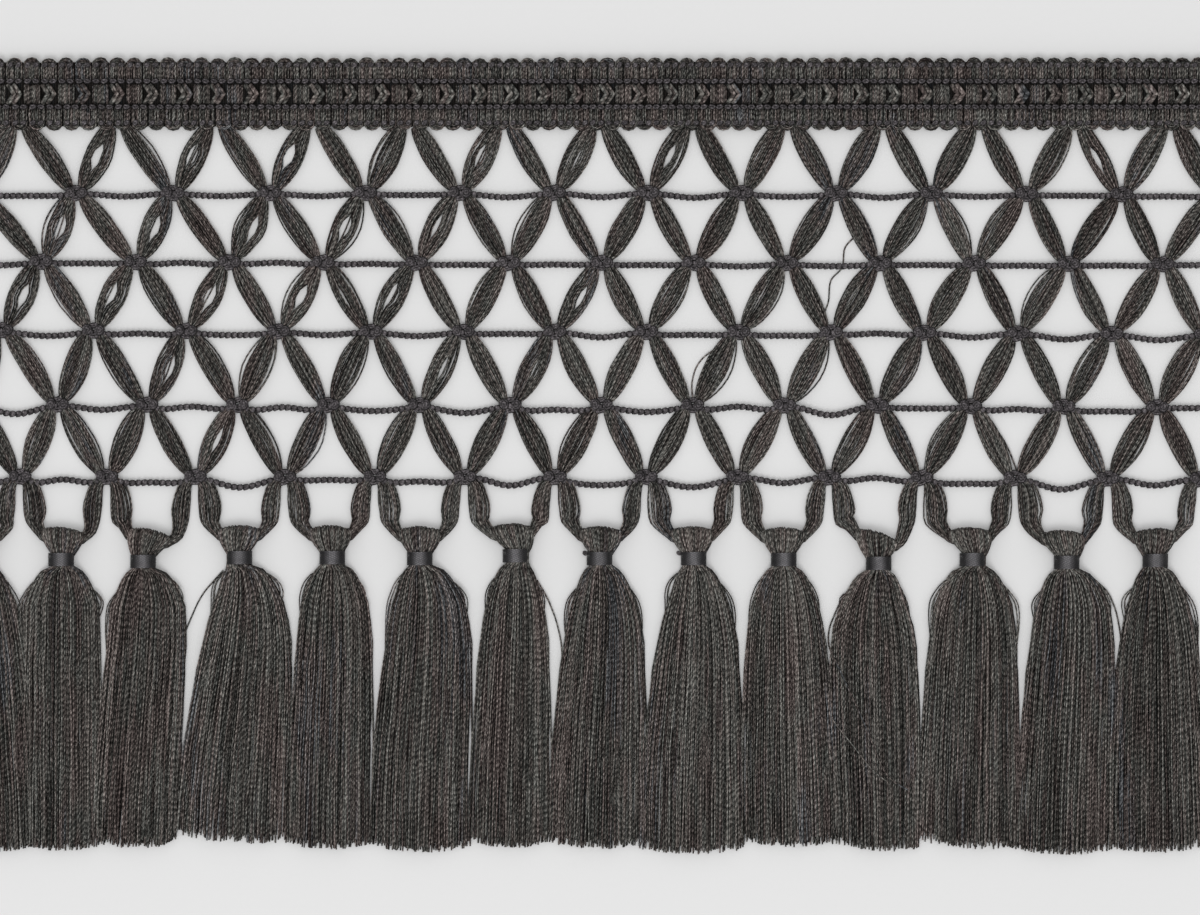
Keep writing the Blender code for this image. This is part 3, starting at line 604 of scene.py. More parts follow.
def wind_thread_tree():
    """Winds a thread round a neck, turn beside turn."""
    graph, given = geometry_tree(
        "Wind thread", Int="Turn Steps, Sides", Vector="Centre",
        Float="Turns, Half Width, Half Height, Length, Thread Radius",
    )
    coil = graph.first("GeometryNodeCurveSpiral", {
        "Resolution": given["Turn Steps"], "Rotations": given["Turns"], "Height": given["Length"],
        "Start Radius": 1.0, "End Radius": 1.0,
    })
    x, y, z = graph.unpack(graph.place())
    # How far round from the neck's sides a point lies, which the satin material turns into painted shade and
    # a painted highlight
    coil = store(graph, coil, "neck_side", y)
    shape = graph.pack(graph.times(x, given["Half Width"]), z, graph.times(y, given["Half Height"]))
    place = graph.vector("ADD", shape, given["Centre"])
    coil = graph.first("GeometryNodeSetPosition", {"Geometry": coil, "Position": place})
    coil = store(graph, coil, "along", graph.along())
    coil = store(graph, coil, "tint", 0.5)
    faces = sweep(graph, coil, given["Sides"], given["Thread Radius"])
    return end_tree(graph, faces, given["Material"])


TREE_MAKERS = {"Lay yarn": lay_yarn_tree, "Set stitches": set_stitches_tree, "Wind thread": wind_thread_tree}


def tree_named(name):
    """The tree of that name, made the first time it is asked for."""
    return bpy.data.node_groups.get(name) or TREE_MAKERS[name]()


# Pieces


def in_metres(points):
    return [tuple(part * MM for part in point) for point in points]


def add_object(name, data):
    obj = bpy.data.objects.new(name, data)
    bpy.context.scene.collection.objects.link(obj)
    return obj


class Guides:
    """Lines that yarn follows, gathered as one mesh of edges that carries their widths."""

    VECTORS = ("reach", "crown")
    NUMBERS = ("thick", "loose", "split", "split_at")
    LENGTHS = ("reach", "crown", "thick")

    def __init__(self):
        self.points = []
        self.edges = []
        self.values = {name: [] for name in self.VECTORS + self.NUMBERS}

    def line(self, points, **values):
        """One line; each value is one for the whole line or a list with one for each point."""
        first = len(self.points)
        self.points += points
        self.edges += [(first + step, first + step + 1) for step in range(len(points) - 1)]
        for name, column in self.values.items():
            value = values.get(name, (0.0, 0.0, 0.0) if name in self.VECTORS else 0.0)
            column += value if isinstance(value, list) else [value] * len(points)

    def mesh(self, name):
        mesh = bpy.data.meshes.new(name)
        mesh.from_pydata(in_metres(self.points), self.edges, [])
        for name, column in self.values.items():
            metric = MM if name in self.LENGTHS else 1.0
            if name in self.VECTORS:
                layer = mesh.attributes.new(name, "FLOAT_VECTOR", "POINT")
                layer.data.foreach_set("vector", [part * metric for way in column for part in way])
            else:
                layer = mesh.attributes.new(name, "FLOAT", "POINT")
                layer.data.foreach_set("value", [value * metric for value in column])
        return mesh


def grow(name, tree_name, mesh, material, **values):
    """Runs a tree on guide lines and returns the result as a plain piece at the origin."""
    obj = add_object(name, mesh)
    modifier = obj.modifiers.new(tree_name, "NODES")
    modifier.node_group = tree_named(tree_name)
    values["material"] = finish(material)
    for item in modifier.node_group.interface.items_tree:
        key = item.name.lower().replace(" ", "_")
        if item.in_out == "INPUT" and key in values:
            modifier[item.identifier] = values[key]
    bpy.context.view_layer.update()
    evaluated = obj.evaluated_get(bpy.context.evaluated_depsgraph_get())
    grown = bpy.data.meshes.new_from_object(evaluated)
    obj.modifiers.remove(modifier)
    obj.data = grown
    grown.name = name
    grown.materials.clear()
    grown.materials.append(values["material"])
    return obj


def lay_yarn(name, guides, material, kind, yarns, radius, number=0, **others):
    """Yarns along guide lines, laid as that kind of piece is; the number moves the seed on."""
    values = {**YARN_LAY[kind], "yarns": yarns, "yarn_radius": radius, **others}
    values["seed"] += number
    return grow(name, "Lay yarn", guides.mesh(f"{name} guides"), material, **values)


def set_stitches(name, guides, ring, seed):
    """Rings of thread at the points of guide lines."""
    return grow(
        name, "Set stitches", guides.mesh(f"{name} guides"), "stitch_thread", half_length=ring["long"] * MM,
        half_width=ring["wide"] * MM, rise=ring["rise"] * MM, thread_radius=ring["thread"] * MM,
        pinch=ring["pinch"], segments=ring["segments"], sides=ring["sides"], turn=ring["turn"],
        turn_spread=ring["spread"], seed=seed,
    )


def place_piece(obj, slot, *nodes):
    """A finished piece moves with the trim and stands for those solids; the slot is not used."""
    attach(obj, "root")
    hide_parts(*nodes)
    print(obj.name, sum(len(face.vertices) - 2 for face in obj.data.polygons), "triangles")
    return obj


def across(points, halves):
    """For each point of a line in plan, the way across it to its left, as long as its half width."""
    ways = []
    for here, half in enumerate(halves):
        before = points[max(here - 1, 0)]
        after = points[min(here + 1, len(points) - 1)]
        run_x, run_y = after[0] - before[0], after[1] - before[1]
        run = math.hypot(run_x, run_y)
        ways.append((-half * run_y / run, half * run_x / run, 0.0))
    return ways


def arch(share):
    """Nothing at both ends of a stretch and one in its middle."""
    return 4 * share * (1 - share)


# Materials


def new_material(name):
    """An empty material, its graph, and where a point is on the object."""
    material = bpy.data.materials.new(name)
    material.use_nodes = True
    material.node_tree.nodes.clear()
    graph = Graph(material.node_tree)
    return material, graph, graph.add("ShaderNodeTexCoord").outputs["Object"]


def close_material(graph, colour, roughness, specular, *bump):
    """One matt shader for yarn, thread and paper; a bump has a strength, distance and height."""
    inputs = {"Base Color": colour, "Roughness": roughness, "Specular IOR Level": specular}
    if bump:
        settings = dict(zip(("Strength", "Distance", "Height"), bump))
        inputs["Normal"] = graph.first("ShaderNodeBump", settings)
    shader = graph.first("ShaderNodeBsdfPrincipled", inputs)
    graph.add("ShaderNodeOutputMaterial", {"Surface": shader})


def attribute(graph, name, socket="Fac"):
    return graph.add("ShaderNodeAttribute", attribute_name=name).outputs[socket]


def colour_mix(graph, factor, first, second):
    return graph.add("ShaderNodeMix", {0: factor, 6: first, 7: second}, data_type="RGBA").outputs[2]


def spread_out(graph, value, low, high, start=0.0, end=1.0):
    """Turns the middle part of a noise into the whole way from start to end."""
    return graph.first("ShaderNodeMapRange", {0: value, 1: low, 2: high, 3: start, 4: end})


def ply(graph, lay, where):
    """How far up its ridge a point of twisted yarn is, and how much it is on the paler ply."""
    m = graph.math
    x, y, _ = graph.unpack(attribute(graph, "around", "Vector"))
    slip = m("MULTIPLY", graph.noise(where, TWIST["scale"], 1.0), TWIST["slip"])
    start = m("MULTIPLY", attribute(graph, "tint"), TWIST["start"])
    angle = m("ADD", m("ARCTAN2", y, x), m("ADD", slip, start))
    twist = m("MULTIPLY", attribute(graph, "along"), math.tau / (lay * MM))
    wave = m("COSINE", m("SUBTRACT", angle, twist))
    return m("ABSOLUTE", wave), spread_out(graph, wave, -TWIST["edge"], TWIST["edge"])


def ramp(graph, factor, stops):
    """A colour ramp from pairs of place and colour."""
    node = graph.add("ShaderNodeValToRGB", {"Fac": factor})
    elements = node.color_ramp.elements
    elements.remove(elements[1])
    for number, (place, colour) in enumerate(stops):
        element = elements[0] if number == 0 else elements.new(place)
        element.position = place
        element.color = (*colour, 1.0)
    return node.outputs[0]


def between(graph, low, power, wound=False):
    """Painted shade down the sides of yarns, where they lie against each other; on a wound neck, painted
    shade at its sides and a painted highlight down its middle.
    """
    up = graph.math("ABSOLUTE", attribute(graph, "neck_side" if wound else "upward"))
    return graph.math("ADD", low, graph.times(graph.math("POWER", up, power), 1.0 - low))


def heather_material(name, colours, lay, light, flecks):
    """Two-ply yarn of mixed fibres: each yarn leans to one of the colours, with pale and dark flecks, and
    painted shade in its grooves and down its sides.
    """
    material, graph, where = new_material(name)
    m, times, noise = graph.math, graph.times, graph.noise
    scale, part, hue, share, raised = HEATHER_SCALE, HEATHER_PART, HEATHER_HUE, HEATHER_MIX, HEATHER_RELIEF
    tint = attribute(graph, "tint")
    ridge, pale = ply(graph, lay, where)
    patch = noise(graph.vector("MULTIPLY", where, scale["patch"]), 1.0)
    streak = times(spread_out(graph, patch, *part["patch"]), hue["patch"])
    streak = m("ADD", times(tint, hue["yarn"]), streak)
    fibre = ramp(graph, streak, [(place, getattr(colours, colour)) for place, colour in HEATHER_FIBRES])
    run = graph.pack(times(tint, scale["yarn"]), times(attribute(graph, "along"), scale["fleck"]))
    fleck = spread_out(graph, noise(run, 1.0, 1.0, dimensions="2D"), *part["fleck"])
    grain = spread_out(graph, noise(where, scale["grain"], 1.0), *part["grain"])
    steady = m("FRACT", times(tint, 17.0))
    mix = m("ADD", times(pale, share["ply"]), times(fleck, share["fleck"]))
    mix = m("ADD", mix, m("ADD", times(grain, share["grain"]), times(steady, share["yarn"])))
    tone = m("ADD", 0.12, times(m("POWER", mix, 2.0), flecks))
    # Painted shade in the grooves between the plies and down the yarn's sides
    groove_shade = m("ADD", 0.6, times(ridge, 0.4))
    lit = times(tone, groove_shade, times(between(graph, *HEATHER_PAINTED_SHADE), light))
    washed = colour_mix(graph, times(mix, 0.5), fibre, (*colours.pale, 1.0))
    shaded = graph.scale(washed, lit)
    relief = m("ADD", times(ridge, raised["ridge"]), times(noise(where, scale["fuzz"]), raised["fuzz"]))
    roughness = m("SUBTRACT", 0.8, times(ridge, 0.2))
    close_material(graph, shaded, roughness, 0.18, raised["strength"], raised["depth"], relief)
    return material


def thread_material(name, colours, colour, lay, gloss, contrast, sides):
    """Plied thread: one colour, with painted shade that makes its ridges paler and its grooves darker;
    painted shade darkens its sides as given, and on a wound neck leaves a painted highlight.
    """
    material, graph, where = new_material(name)
    m, times = graph.math, graph.times
    ridge, pale = ply(graph, lay, where)
    patch = graph.noise(where, THREAD_SCALE["patch"], 3.0)
    fibre = graph.noise(where, THREAD_SCALE["fibre"])
    # Painted shade: the ridges are paler and the grooves between the plies darker
    tone = m("ADD", 1.1 - contrast, times(ridge, contrast))
    tone = times(tone, m("ADD", 1.0 - 0.4 * contrast, times(pale, contrast)))
    tone = times(tone, m("ADD", 0.65, times(patch, 0.7)))
    tone = times(tone, m("ADD", 0.75, times(fibre, 0.5)))
    tone = times(tone, m("ADD", 0.8, times(attribute(graph, "tint"), 0.4)))
    plain = getattr(colours, colour)
    base = colour_mix(graph, patch, (*plain, 1.0), (*[part * 1.25 for part in plain], 1.0))
    # Painted shade down the sides; on the wound neck, painted shade at its sides and a painted highlight
    # down its middle
    shaded = graph.scale(base, times(tone, between(graph, *sides)))
    relief = m("ADD", ridge, times(fibre, 0.25))
    roughness = m("ADD", gloss, times(fibre, 0.12))
    close_material(graph, shaded, roughness, 0.2, 0.6, 0.00006, relief)
    return material


def ground_material(name, colours):
    """The woven ground of the heading: fine ribs across it, crossed by finer threads. Painted shade darkens
    the grooves between them, and the low lightness of the whole ground is painted shade for where it shows
    between the yarns above it.
    """
    material, graph, where = new_material(name)
    m, times = graph.math, graph.times
    x, y, _ = graph.unpack(where)
    ribs = m("ABSOLUTE", m("SINE", times(x, math.pi / (WEAVE["rib"] * MM))))
    picks = m("ABSOLUTE", m("SINE", times(y, math.pi / (WEAVE["pick"] * MM))))
    # Painted shade in the grooves between the ribs and threads; the same weave is also the bump
    weave = times(m("ADD", 0.35, times(ribs, 0.65)), m("ADD", 0.6, times(picks, 0.4)))
    patch = graph.noise(graph.vector("MULTIPLY", where, WEAVE["patch"]), 1.0, 3.0)
    fibre = ramp(graph, patch, ((0.3, colours.shade), (0.5, colours.brown), (0.7, colours.blue)))
    # The low lightness is painted shade for the ground seen between the yarns above it
    shaded = graph.scale(fibre, times(weave, WEAVE["light"]))
    roughness = m("SUBTRACT", 0.92, times(ribs, 0.1))
    close_material(graph, shaded, roughness, 0.1, 0.8, 0.0002, weave)
    return material


def floor_material():
    """Plain pale paper with the faintest grain."""
    material, graph, where = new_material("pale_floor")
    tone = spread_out(graph, graph.noise(where, PAPER_GRAIN), 0.0, 1.0, *PAPER_TONES)
    close_material(graph, graph.pack(tone, tone, tone), 0.9, 0.1)
    return material


def finish(name):
    """The material of that name, made the first time it is asked for."""
    made = bpy.data.materials.get(name)
    if made:
        return made
    colours = bpy.context.scene.trim_colours
    if name in HEATHERS:
        return heather_material(name, colours, **HEATHERS[name])
    if name in THREADS:
        return thread_material(name, colours, **THREADS[name])
    return ground_material(name, colours)


# Places that the solids share


def row_x(row, number):
    """Where a knot of a row is along the trim: rows crowd and spread a little."""
    x = row["first_x"] + row["pitch"] * number
    bow = row["bow"] * math.sin(math.pi * (number / (row["count"] - 1)) ** BOW_SKEW)
    return x + bow + SPACING_WAVE["reach"] * math.sin(math.tau * x / SPACING_WAVE["length"])


def row_y(row, x):
    """A row's height at its left end, middle and right end, as a smooth line."""
    left, middle, right = row["y"]
    share = (x + TRIM_LENGTH / 2) / TRIM_LENGTH
    edge = (left if share < 0.5 else right) - middle
    return middle + edge * (2 * share - 1) ** 2


def knot_places():
    """The knots of each row, from left to right."""
    return [
        [(row_x(row, number), row_y(row, row_x(row, number))) for number in range(row["count"])]
        for row in NET_ROWS
    ]


def head_place(number):
    """The middle of a tassel head's top edge."""
    row = knot_places()[-1]
    return (row[number][0] + row[number + 1][0]) / 2, HEAD_TOP_Y + TASSELS[number]["rise"]


def tassel_middle(number, drop):
    """The tassel's middle at a distance below the head's top edge."""
    tassel = TASSELS[number]
    head_x, _ = head_place(number)
    if drop <= NECK_DROP:
        return head_x + tassel["lean"] * drop / NECK_DROP
    neck_x = head_x + tassel["lean"]
    hem_drop = HEAD_TOP_Y - (tassel["left"][1] + tassel["right"][1]) / 2
    hem_x = (tassel["left"][0] + tassel["right"][0]) / 2
    return neck_x + (hem_x - neck_x) * (drop - NECK_DROP) / (hem_drop - NECK_DROP)


# Heading


def bead_places():
    """The numbers and places of the beads that fit on the cut length."""
    places = [(number, row_x(BEAD_ROW, number)) for number in range(BEAD_ROW["count"])]
    return [(number, x) for number, x in places if abs(x) < TRIM_LENGTH / 2 - BEAD_MARGIN]


def add_lobe(guides, x, side, taller):
    """One loop of yarns: up the band, round the edge lobe and back down."""
    leg, half, heights = LOBE["leg"], LOBE_YARN["half"], LOBE_HEIGHTS
    stops = ("foot", "crest", "shoulder")
    up = [(x - leg, HEADING_MIDDLE + side * LOBE[stop], heights[stop]) for stop in stops]
    points = list(up)
    ways = [(-half, 0.0, 0.0)] * len(up)
    for step in range(TURN_STEPS):
        angle = math.pi * (1 - (step + 0.5) / TURN_STEPS)
        z = heights["shoulder"] + (heights["tip"] - heights["shoulder"]) * math.sin(angle)
        y = LOBE["centre"] + (LOBE["turn"] + taller) * math.sin(angle)
        points.append((x + leg * math.cos(angle), HEADING_MIDDLE + side * y, z))
        ways.append((half * math.cos(angle), side * half * math.sin(angle), 0.0))
    points += [(x + leg, y, z) for _, y, z in reversed(up)]
    ways += [(half, 0.0, 0.0)] * len(up)
    looses = [
        1.0 if abs(y - HEADING_MIDDLE) < LOBE["shoulder"] else LOBE_YARN["loose"] for _, y, _ in points
    ]
    guides.line(points, reach=ways, thick=LOBE_YARN["thick"], loose=looses)


def scallop_line(side):
    """The heading's ground ends in shallow scallops, just inside the lobes."""
    beads = [x for _, x in bead_places()]
    shift = 0.0 if side > 0 else LOWER_SHIFT
    count = TAPE["steps"] * len(beads)
    line = []
    for step in range(count + 1):
        x = TRIM_LENGTH * (step / count - 0.5)
        nearest = min(abs(x - bead - shift) for bead in beads)
        dip = TAPE["dip"] * min(1.0, nearest / (BEAD_ROW["pitch"] / 2)) ** 2
        line.append((x, HEADING_MIDDLE + side * (TAPE["half"] - dip)))
    return line


def make_tape():
    """The woven ground as one closed flat mesh."""
    points, faces = [], []
    for (x, top), (_, low) in zip(scallop_line(1), scallop_line(-1)):
        points += [(x, top, 0.0), (x, top, TAPE["height"]), (x, low, TAPE["height"]), (x, low, 0.0)]
    last = len(points) - 4
    for here in range(0, last, 4):
        for corner in range(4):
            following = (corner + 1) % 4
            faces.append((here + corner, here + following, here + 4 + following, here + 4 + corner))
    faces += [(3, 2, 1, 0), (last, last + 1, last + 2, last + 3)]
    mesh = bpy.data.meshes.new("heading_tape")
    mesh.from_pydata(in_metres(points), [], faces)
    mesh.materials.append(finish("woven_ground"))
    return add_object("heading_tape", mesh)


def make_bands(sizes):
    guides = Guides()
    for number, x in bead_places():
        add_lobe(guides, x, 1, LOBE_TALLER * (number % 2))
        add_lobe(guides, x + LOWER_SHIFT, -1, 0.0)
    return lay_yarn(
        "heading_bands", guides, "heather_heading", "bands", sizes.strands, sizes.yarn, smoothing=sizes.steps
    )


def make_channel(sizes):
    """Satin squares and arrow pairs down the middle, in turn."""
    squares, arrows = Guides(), Guides()
    sunk, fall = SQUARE["high"] - SQUARE["edge"], CHEVRON["high"] - CHEVRON["low"]
    for number, x in bead_places():
        if number % 2:
            points = [
                (x, HEADING_MIDDLE + share * SQUARE["reach"], SQUARE["high"] - sunk * abs(share) ** 3)
                for share in SQUARE_SHARES
            ]
            reach, crown = (SQUARE["half"], 0.0, 0.0), (0.0, 0.0, SQUARE["crown"])
            squares.line(points, reach=reach, thick=SQUARE["thick"], crown=crown, loose=1.0)
            continue
        for arrow in CHEVRONS:
            points = []
            for share in CHEVRON_SHARES:
                y = HEADING_MIDDLE + share * CHEVRON["reach"]
                point_x = x + arrow["point"] + (arrow["back"] - arrow["point"]) * abs(share)
                points.append((point_x, y, CHEVRON["high"] - fall * abs(share) ** 2))
            ways = across(points, [CHEVRON["half"]] * len(points))
            arrows.line(points, reach=ways, thick=CHEVRON["thick"], loose=1.0)
    return [
        lay_yarn("heading_squares", squares, "heather_heading", "squares", SQUARE["yarns"], sizes.yarn),
        lay_yarn("heading_arrows", arrows, "heather_arrow", "arrows", CHEVRON["yarns"], CHEVRON["yarn"]),
    ]


def make_stitches():
    """Rows of small stitches: two for each bead along both sides of each band."""
    pieces = []
    for number, row in enumerate(STITCH_ROWS):
        guides = Guides()
        for side, shift in ((1, 0.0), (-1, LOWER_SHIFT)):
            y = HEADING_MIDDLE + side * row["offset"]
            guides.line([
                (x + shift + step * BEAD_ROW["pitch"], y, row["height"])
                for _, x in bead_places() for step in STITCH_STEPS
            ])
        pieces.append(set_stitches(f"heading_stitches_{number}", guides, row, STITCH_SEED + number))
    return pieces


class TRIM_OT_heading(bpy.types.Operator):
    """Build the braided heading: ground, edge lobes and bands, stitches, squares and arrows"""

    bl_idname = "trim.heading"
    bl_label = "Heading"

    def execute(self, context):
        sizes = context.scene.trim_heading
        tape = place_piece(make_tape(), "heading_yarn", "heading")
        pieces = [make_bands(sizes), *make_stitches(), *make_channel(sizes)]
        for piece in pieces:
            place_piece(piece, "heading_yarn", "heading")
        return {"FINISHED"}


# Lattice


def bundle_half(rising, x, row_number, chance):
    """Rising bundles are opened widest at the upper left; both kinds vary a little."""
    half = FALLING_HALF
    if rising:
        leftness = 0.5 - x / TRIM_LENGTH
        upperness = 1 - row_number / len(NET_ROWS)
        half = RISING_HALF + RISING_EXTRA * leftness * upperness
    return half * chance.uniform(*WIDTH_SPREAD)


def eye_near(x, y):
    """The half width of an open slit near the middle of a bundle, or none."""
    near = [eye["gap"] for eye in EYES if math.hypot(eye["x"] - x, eye["y"] - y) < EYE_NEAR]
    return near[0] if near else 0.0


def add_bundle(guides, start, end, half, leaf, root):
    """One spindle of yarns from start to end; a root is wider and lower than a tie."""
    span_x, span_y = end[0] - start[0], end[1] - start[1]
    run = math.hypot(span_x, span_y)
    side_x, side_y = -span_y / run, span_x / run
    gap = eye_near((start[0] + end[0]) / 2, (start[1] + end[1]) / 2)
    points, ways, thicks, looses, splits = [], [], [], [], []
    for share in BUNDLE_SHARES:
        fullness = arch(share) ** FULLNESS_POWER
        end_half = ROOT_TIE["half"] if root and share < 0.5 else TIE["half"]
        half_here = end_half + (half - end_half) * fullness
        points.append((
            start[0] + span_x * share + side_x * leaf * fullness,
            start[1] + span_y * share + side_y * leaf * fullness,
            TIE["z"] + (BELLY["z"] - TIE["z"]) * fullness,
        ))
        ways.append((side_x * half_here, side_y * half_here, 0.0))
        thicks.append(TIE["thick"] + (BELLY["thick"] - TIE["thick"]) * fullness)
        looses.append(fullness)
        splits.append(gap * max(0.0, 1 - ((share - 0.5) / EYE_LENGTH) ** 2))
    guides.line(points, reach=ways, thick=thicks, loose=looses, split=splits, split_at=leaf)


def tie_place(knot, x_side, y_side):
    """Where a bundle enters a knot: a little to its side and above or below its middle."""
    return knot[0] + x_side * TIE["x"], knot[1] + y_side * TIE["y"]


def make_bundles(sizes):
    """All bundles, as one piece for the two upper bands and one for the three lower ones."""
    chance = random.Random(BUNDLE_SEED)
    upper, lower = Guides(), Guides()
    roots = [(row_x(ROOT_ROW, number), ROOT_TIE["y"]) for number in range(ROOT_ROW["count"])]
    rows = [roots, *knot_places()]
    for band, (row, following) in enumerate(zip(rows, rows[1:])):
        guides = upper if band < UPPER_BANDS else lower
        for above in row:
            for below in following:
                if abs(above[0] - below[0]) > BUNDLE_REACH:
                    continue
                side = -1 if below[0] < above[0] else 1
                half = bundle_half(side < 0, above[0], band, chance)
                leaf = chance.uniform(-BUNDLE_BOW, BUNDLE_BOW)
                start = (above[0] + side * ROOT_TIE["spread"], above[1])
                if band:
                    start = tie_place(above, side, -1)
                add_bundle(guides, start, tie_place(below, -side, 1), half, leaf, not band)
    return [
        lay_yarn(f"bundles_{kind}", guides, "heather_bundle", kind, sizes.strands, sizes.yarn)
        for kind, guides in (("upper", upper), ("lower", lower))
    ]


def arm_stations(number, side, knot):
    """Stations down one arm of a tassel's loop: side is -1 on the left and 1 on the right."""
    _, head_y = head_place(number)
    tilt = math.radians(TASSELS[number]["tilt"])
    stations = [
        (knot[0] - side * station["x"], knot[1] - station["down"], station) for station in ARM_OFF_KNOT
    ]
    for station in ARM_OFF_HEAD:
        reach = side * station["x"]
        x = tassel_middle(number, station["down"]) + reach * math.cos(tilt)
        y = head_y - station["down"] + reach * math.sin(tilt)
        stations.append((x, y, station))
    return stations


def make_loops(sizes):
    """The bundles that hang from the last row of knots and carry the tassels."""
    guides = Guides()
    row = knot_places()[-1]
    for number in range(len(TASSELS)):
        head = head_place(number)
        stations = arm_stations(number, -1, row[number])
        stations.append((head[0], head[1] - ARM_IN_HEAD["down"], ARM_IN_HEAD))
        stations += reversed(arm_stations(number, 1, row[number + 1]))
        points = [(x, y, station["z"]) for x, y, station in stations]
        halves = [
            station["half"] * ARM_FULLNESS["left" if x < head[0] else "right"] for x, _, station in stations
        ]
        looses = [min(1.0, max(0.0, half - ARM_TIGHT)) for half in halves]
        thicks = [station["thick"] for _, _, station in stations]
        guides.line(points, reach=across(points, halves), thick=thicks, loose=looses)
    return lay_yarn("hanging_loops", guides, "heather_bundle", "loops", sizes.loop_strands, sizes.yarn)


def make_loose_yarns(sizes):
    """A few single yarns that have slipped out of their bundles."""
    guides = Guides()
    for way in LOOSE_YARNS:
        points = [(*place, LOOSE_YARN["z"])[:3] for place in way]
        guides.line(points, reach=(LOOSE_YARN["half"], 0.0, 0.0), loose=LOOSE_YARN["loose"])
    return lay_yarn("loose_yarns", guides, "heather_bundle", "loose", 1, sizes.yarn * FINE_YARN)


class TRIM_OT_lattice(bpy.types.Operator):
    """Build the yarn bundles of the lattice, the hanging loops and a few loose yarns"""

    bl_idname = "trim.lattice"
    bl_label = "Lattice bundles"

    def execute(self, context):
        sizes = context.scene.trim_lattice
        for piece in (*make_bundles(sizes), make_loops(sizes), make_loose_yarns(sizes)):
            place_piece(piece, "bundle_yarn", "lattice")
        return {"FINISHED"}


def chain_line(row, knots, pitch):
    """Places of the stitches of one chain row, which sags between its knots."""
    stops = [(-CHAIN_TAIL_END, knots[0][1]), *knots, (CHAIN_TAIL_END, knots[-1][1])]
    count = round(2 * CHAIN_TAIL_END / pitch)
    chance = random.Random(round(100 * row["first_x"]))
    sags = [row["sag"] * chance.uniform(*SAG_SPREAD) for _ in stops]
    ripples = [row["sag"] * chance.uniform(-SAG_RIPPLE, SAG_RIPPLE) for _ in stops]
    points = []
    for step in range(count + 1):
        x = -CHAIN_TAIL_END + 2 * CHAIN_TAIL_END * step / count
        for (left, left_y), (right, right_y), sag, ripple in zip(stops, stops[1:], sags, ripples):
            if left <= x <= right:
                share = (x - left) / (right - left)
                inner = abs(left) < CHAIN_TAIL_END and abs(right) < CHAIN_TAIL_END
                fall = (sag + ripple * math.cos(math.tau * share)) * arch(share) if inner else 0.0
                y = left_y + (right_y - left_y) * share - fall - CHAIN_DROP
                z = CHAIN_HEIGHT + CHAIN_CLIMB * abs(2 * share - 1) ** 3
                points.append((x, y, z))
                break
    return points


def make_chains(sizes):
    guides = Guides()
    for row, knots in zip(NET_ROWS, knot_places()):
        guides.line(chain_line(row, knots, sizes.stitch_pitch / MM))
    return set_stitches("chain_cords", guides, {**CHAIN_STITCH, "thread": sizes.thread / MM}, CHAIN_SEED)


def make_knots():
    """The looped knots: a few rings of thread each, grown ring by ring and joined."""
    rings = []
    knots = [knot for row in knot_places() for knot in row]
    for number, ring in enumerate(KNOT_RINGS):
        guides = Guides()
        for knot_x, knot_y in knots:
            x, y, z = knot_x + ring["x"], knot_y + ring["y"], ring["z"]
            guides.line([(x - KNOT_GUIDE, y, z), (x, y, z)])
        rings.append(set_stitches(f"knot_ring_{number}", guides, ring, KNOT_SEED + number))
    with bpy.context.temp_override(active_object=rings[0], selected_editable_objects=rings):
        bpy.ops.object.join()
    rings[0].name = "lattice_knots"
    return rings[0]


class TRIM_OT_chains(bpy.types.Operator):
    """Build the chain cords across the lattice and its knots"""

    bl_idname = "trim.chains"
    bl_label = "Chain cords and knots"

    def execute(self, context):
        sizes = context.scene.trim_lattice
        for piece in (make_chains(sizes), make_knots()):
            place_piece(piece, "bundle_yarn", "lattice")
        return {"FINISHED"}


# Tassels


def skirt_layer(number, front):
    """One layer of the skirt from the neck down to the hem: points, ways, thicknesses and crowns."""
    tassel = TASSELS[number]
    (left_x, left_y), (right_x, right_y) = tassel["left"], tassel["right"]
    hem_half = HEM["share"] * (right_x - left_x)
    _, head_y = head_place(number)
    level = SKIRT_LAYERS["front" if front else "back"]
    crown = SKIRT_LAYERS["crown"] if front else 0.0
    layer = []
    for row in SKIRT_PROFILE:
        x = tassel_middle(number, row["drop"]) + tassel["shift"] * row["shift"]
        half = row["shoulder"] * tassel["shoulder"] + row["spread"] * (hem_half - tassel["shoulder"])
        half += tassel["belly"] * arch(row["spread"])
        high = row["high"]
        point = (x, head_y - row["drop"], level * high)
        layer.append((point, (half, 0.0, 0.0), SKIRT_LAYERS["thick"] * high, (0.0, 0.0, crown * high)))
    slope = math.atan2(right_y - left_y, right_x - left_x)
    high = HEM["high"]
    hem = ((left_x + right_x) / 2, (left_y + right_y) / 2 - HEM["lower"], level * high)
    way = (hem_half * math.cos(slope), hem_half * math.sin(slope), 0.0)
    layer.append((hem, way, SKIRT_LAYERS["thick"] * high, (0.0, -HEM["arch"], crown * high)))
    return layer


def head_fold(number):
    """The yarn's way up the back of the head, over the hanging loop and down its front."""
    tassel = TASSELS[number]
    _, head_y = head_place(number)
    fold = []
    for row in HEAD_FOLD:
        tilt = math.radians(tassel["tilt"]) * max(0.0, 1 - row["drop"] / NECK_DROP)
        x = tassel_middle(number, row["drop"]) + tassel["neck"] * min(1.0, row["drop"] / NECK_DROP)
        point = (x, head_y - row["drop"], row["z"])
        way = (row["half"] * math.cos(tilt), row["half"] * math.sin(tilt), 0.0)
        fold.append((point, way, row["thick"], (0.0, row["arch"], row["crown"])))
    return fold


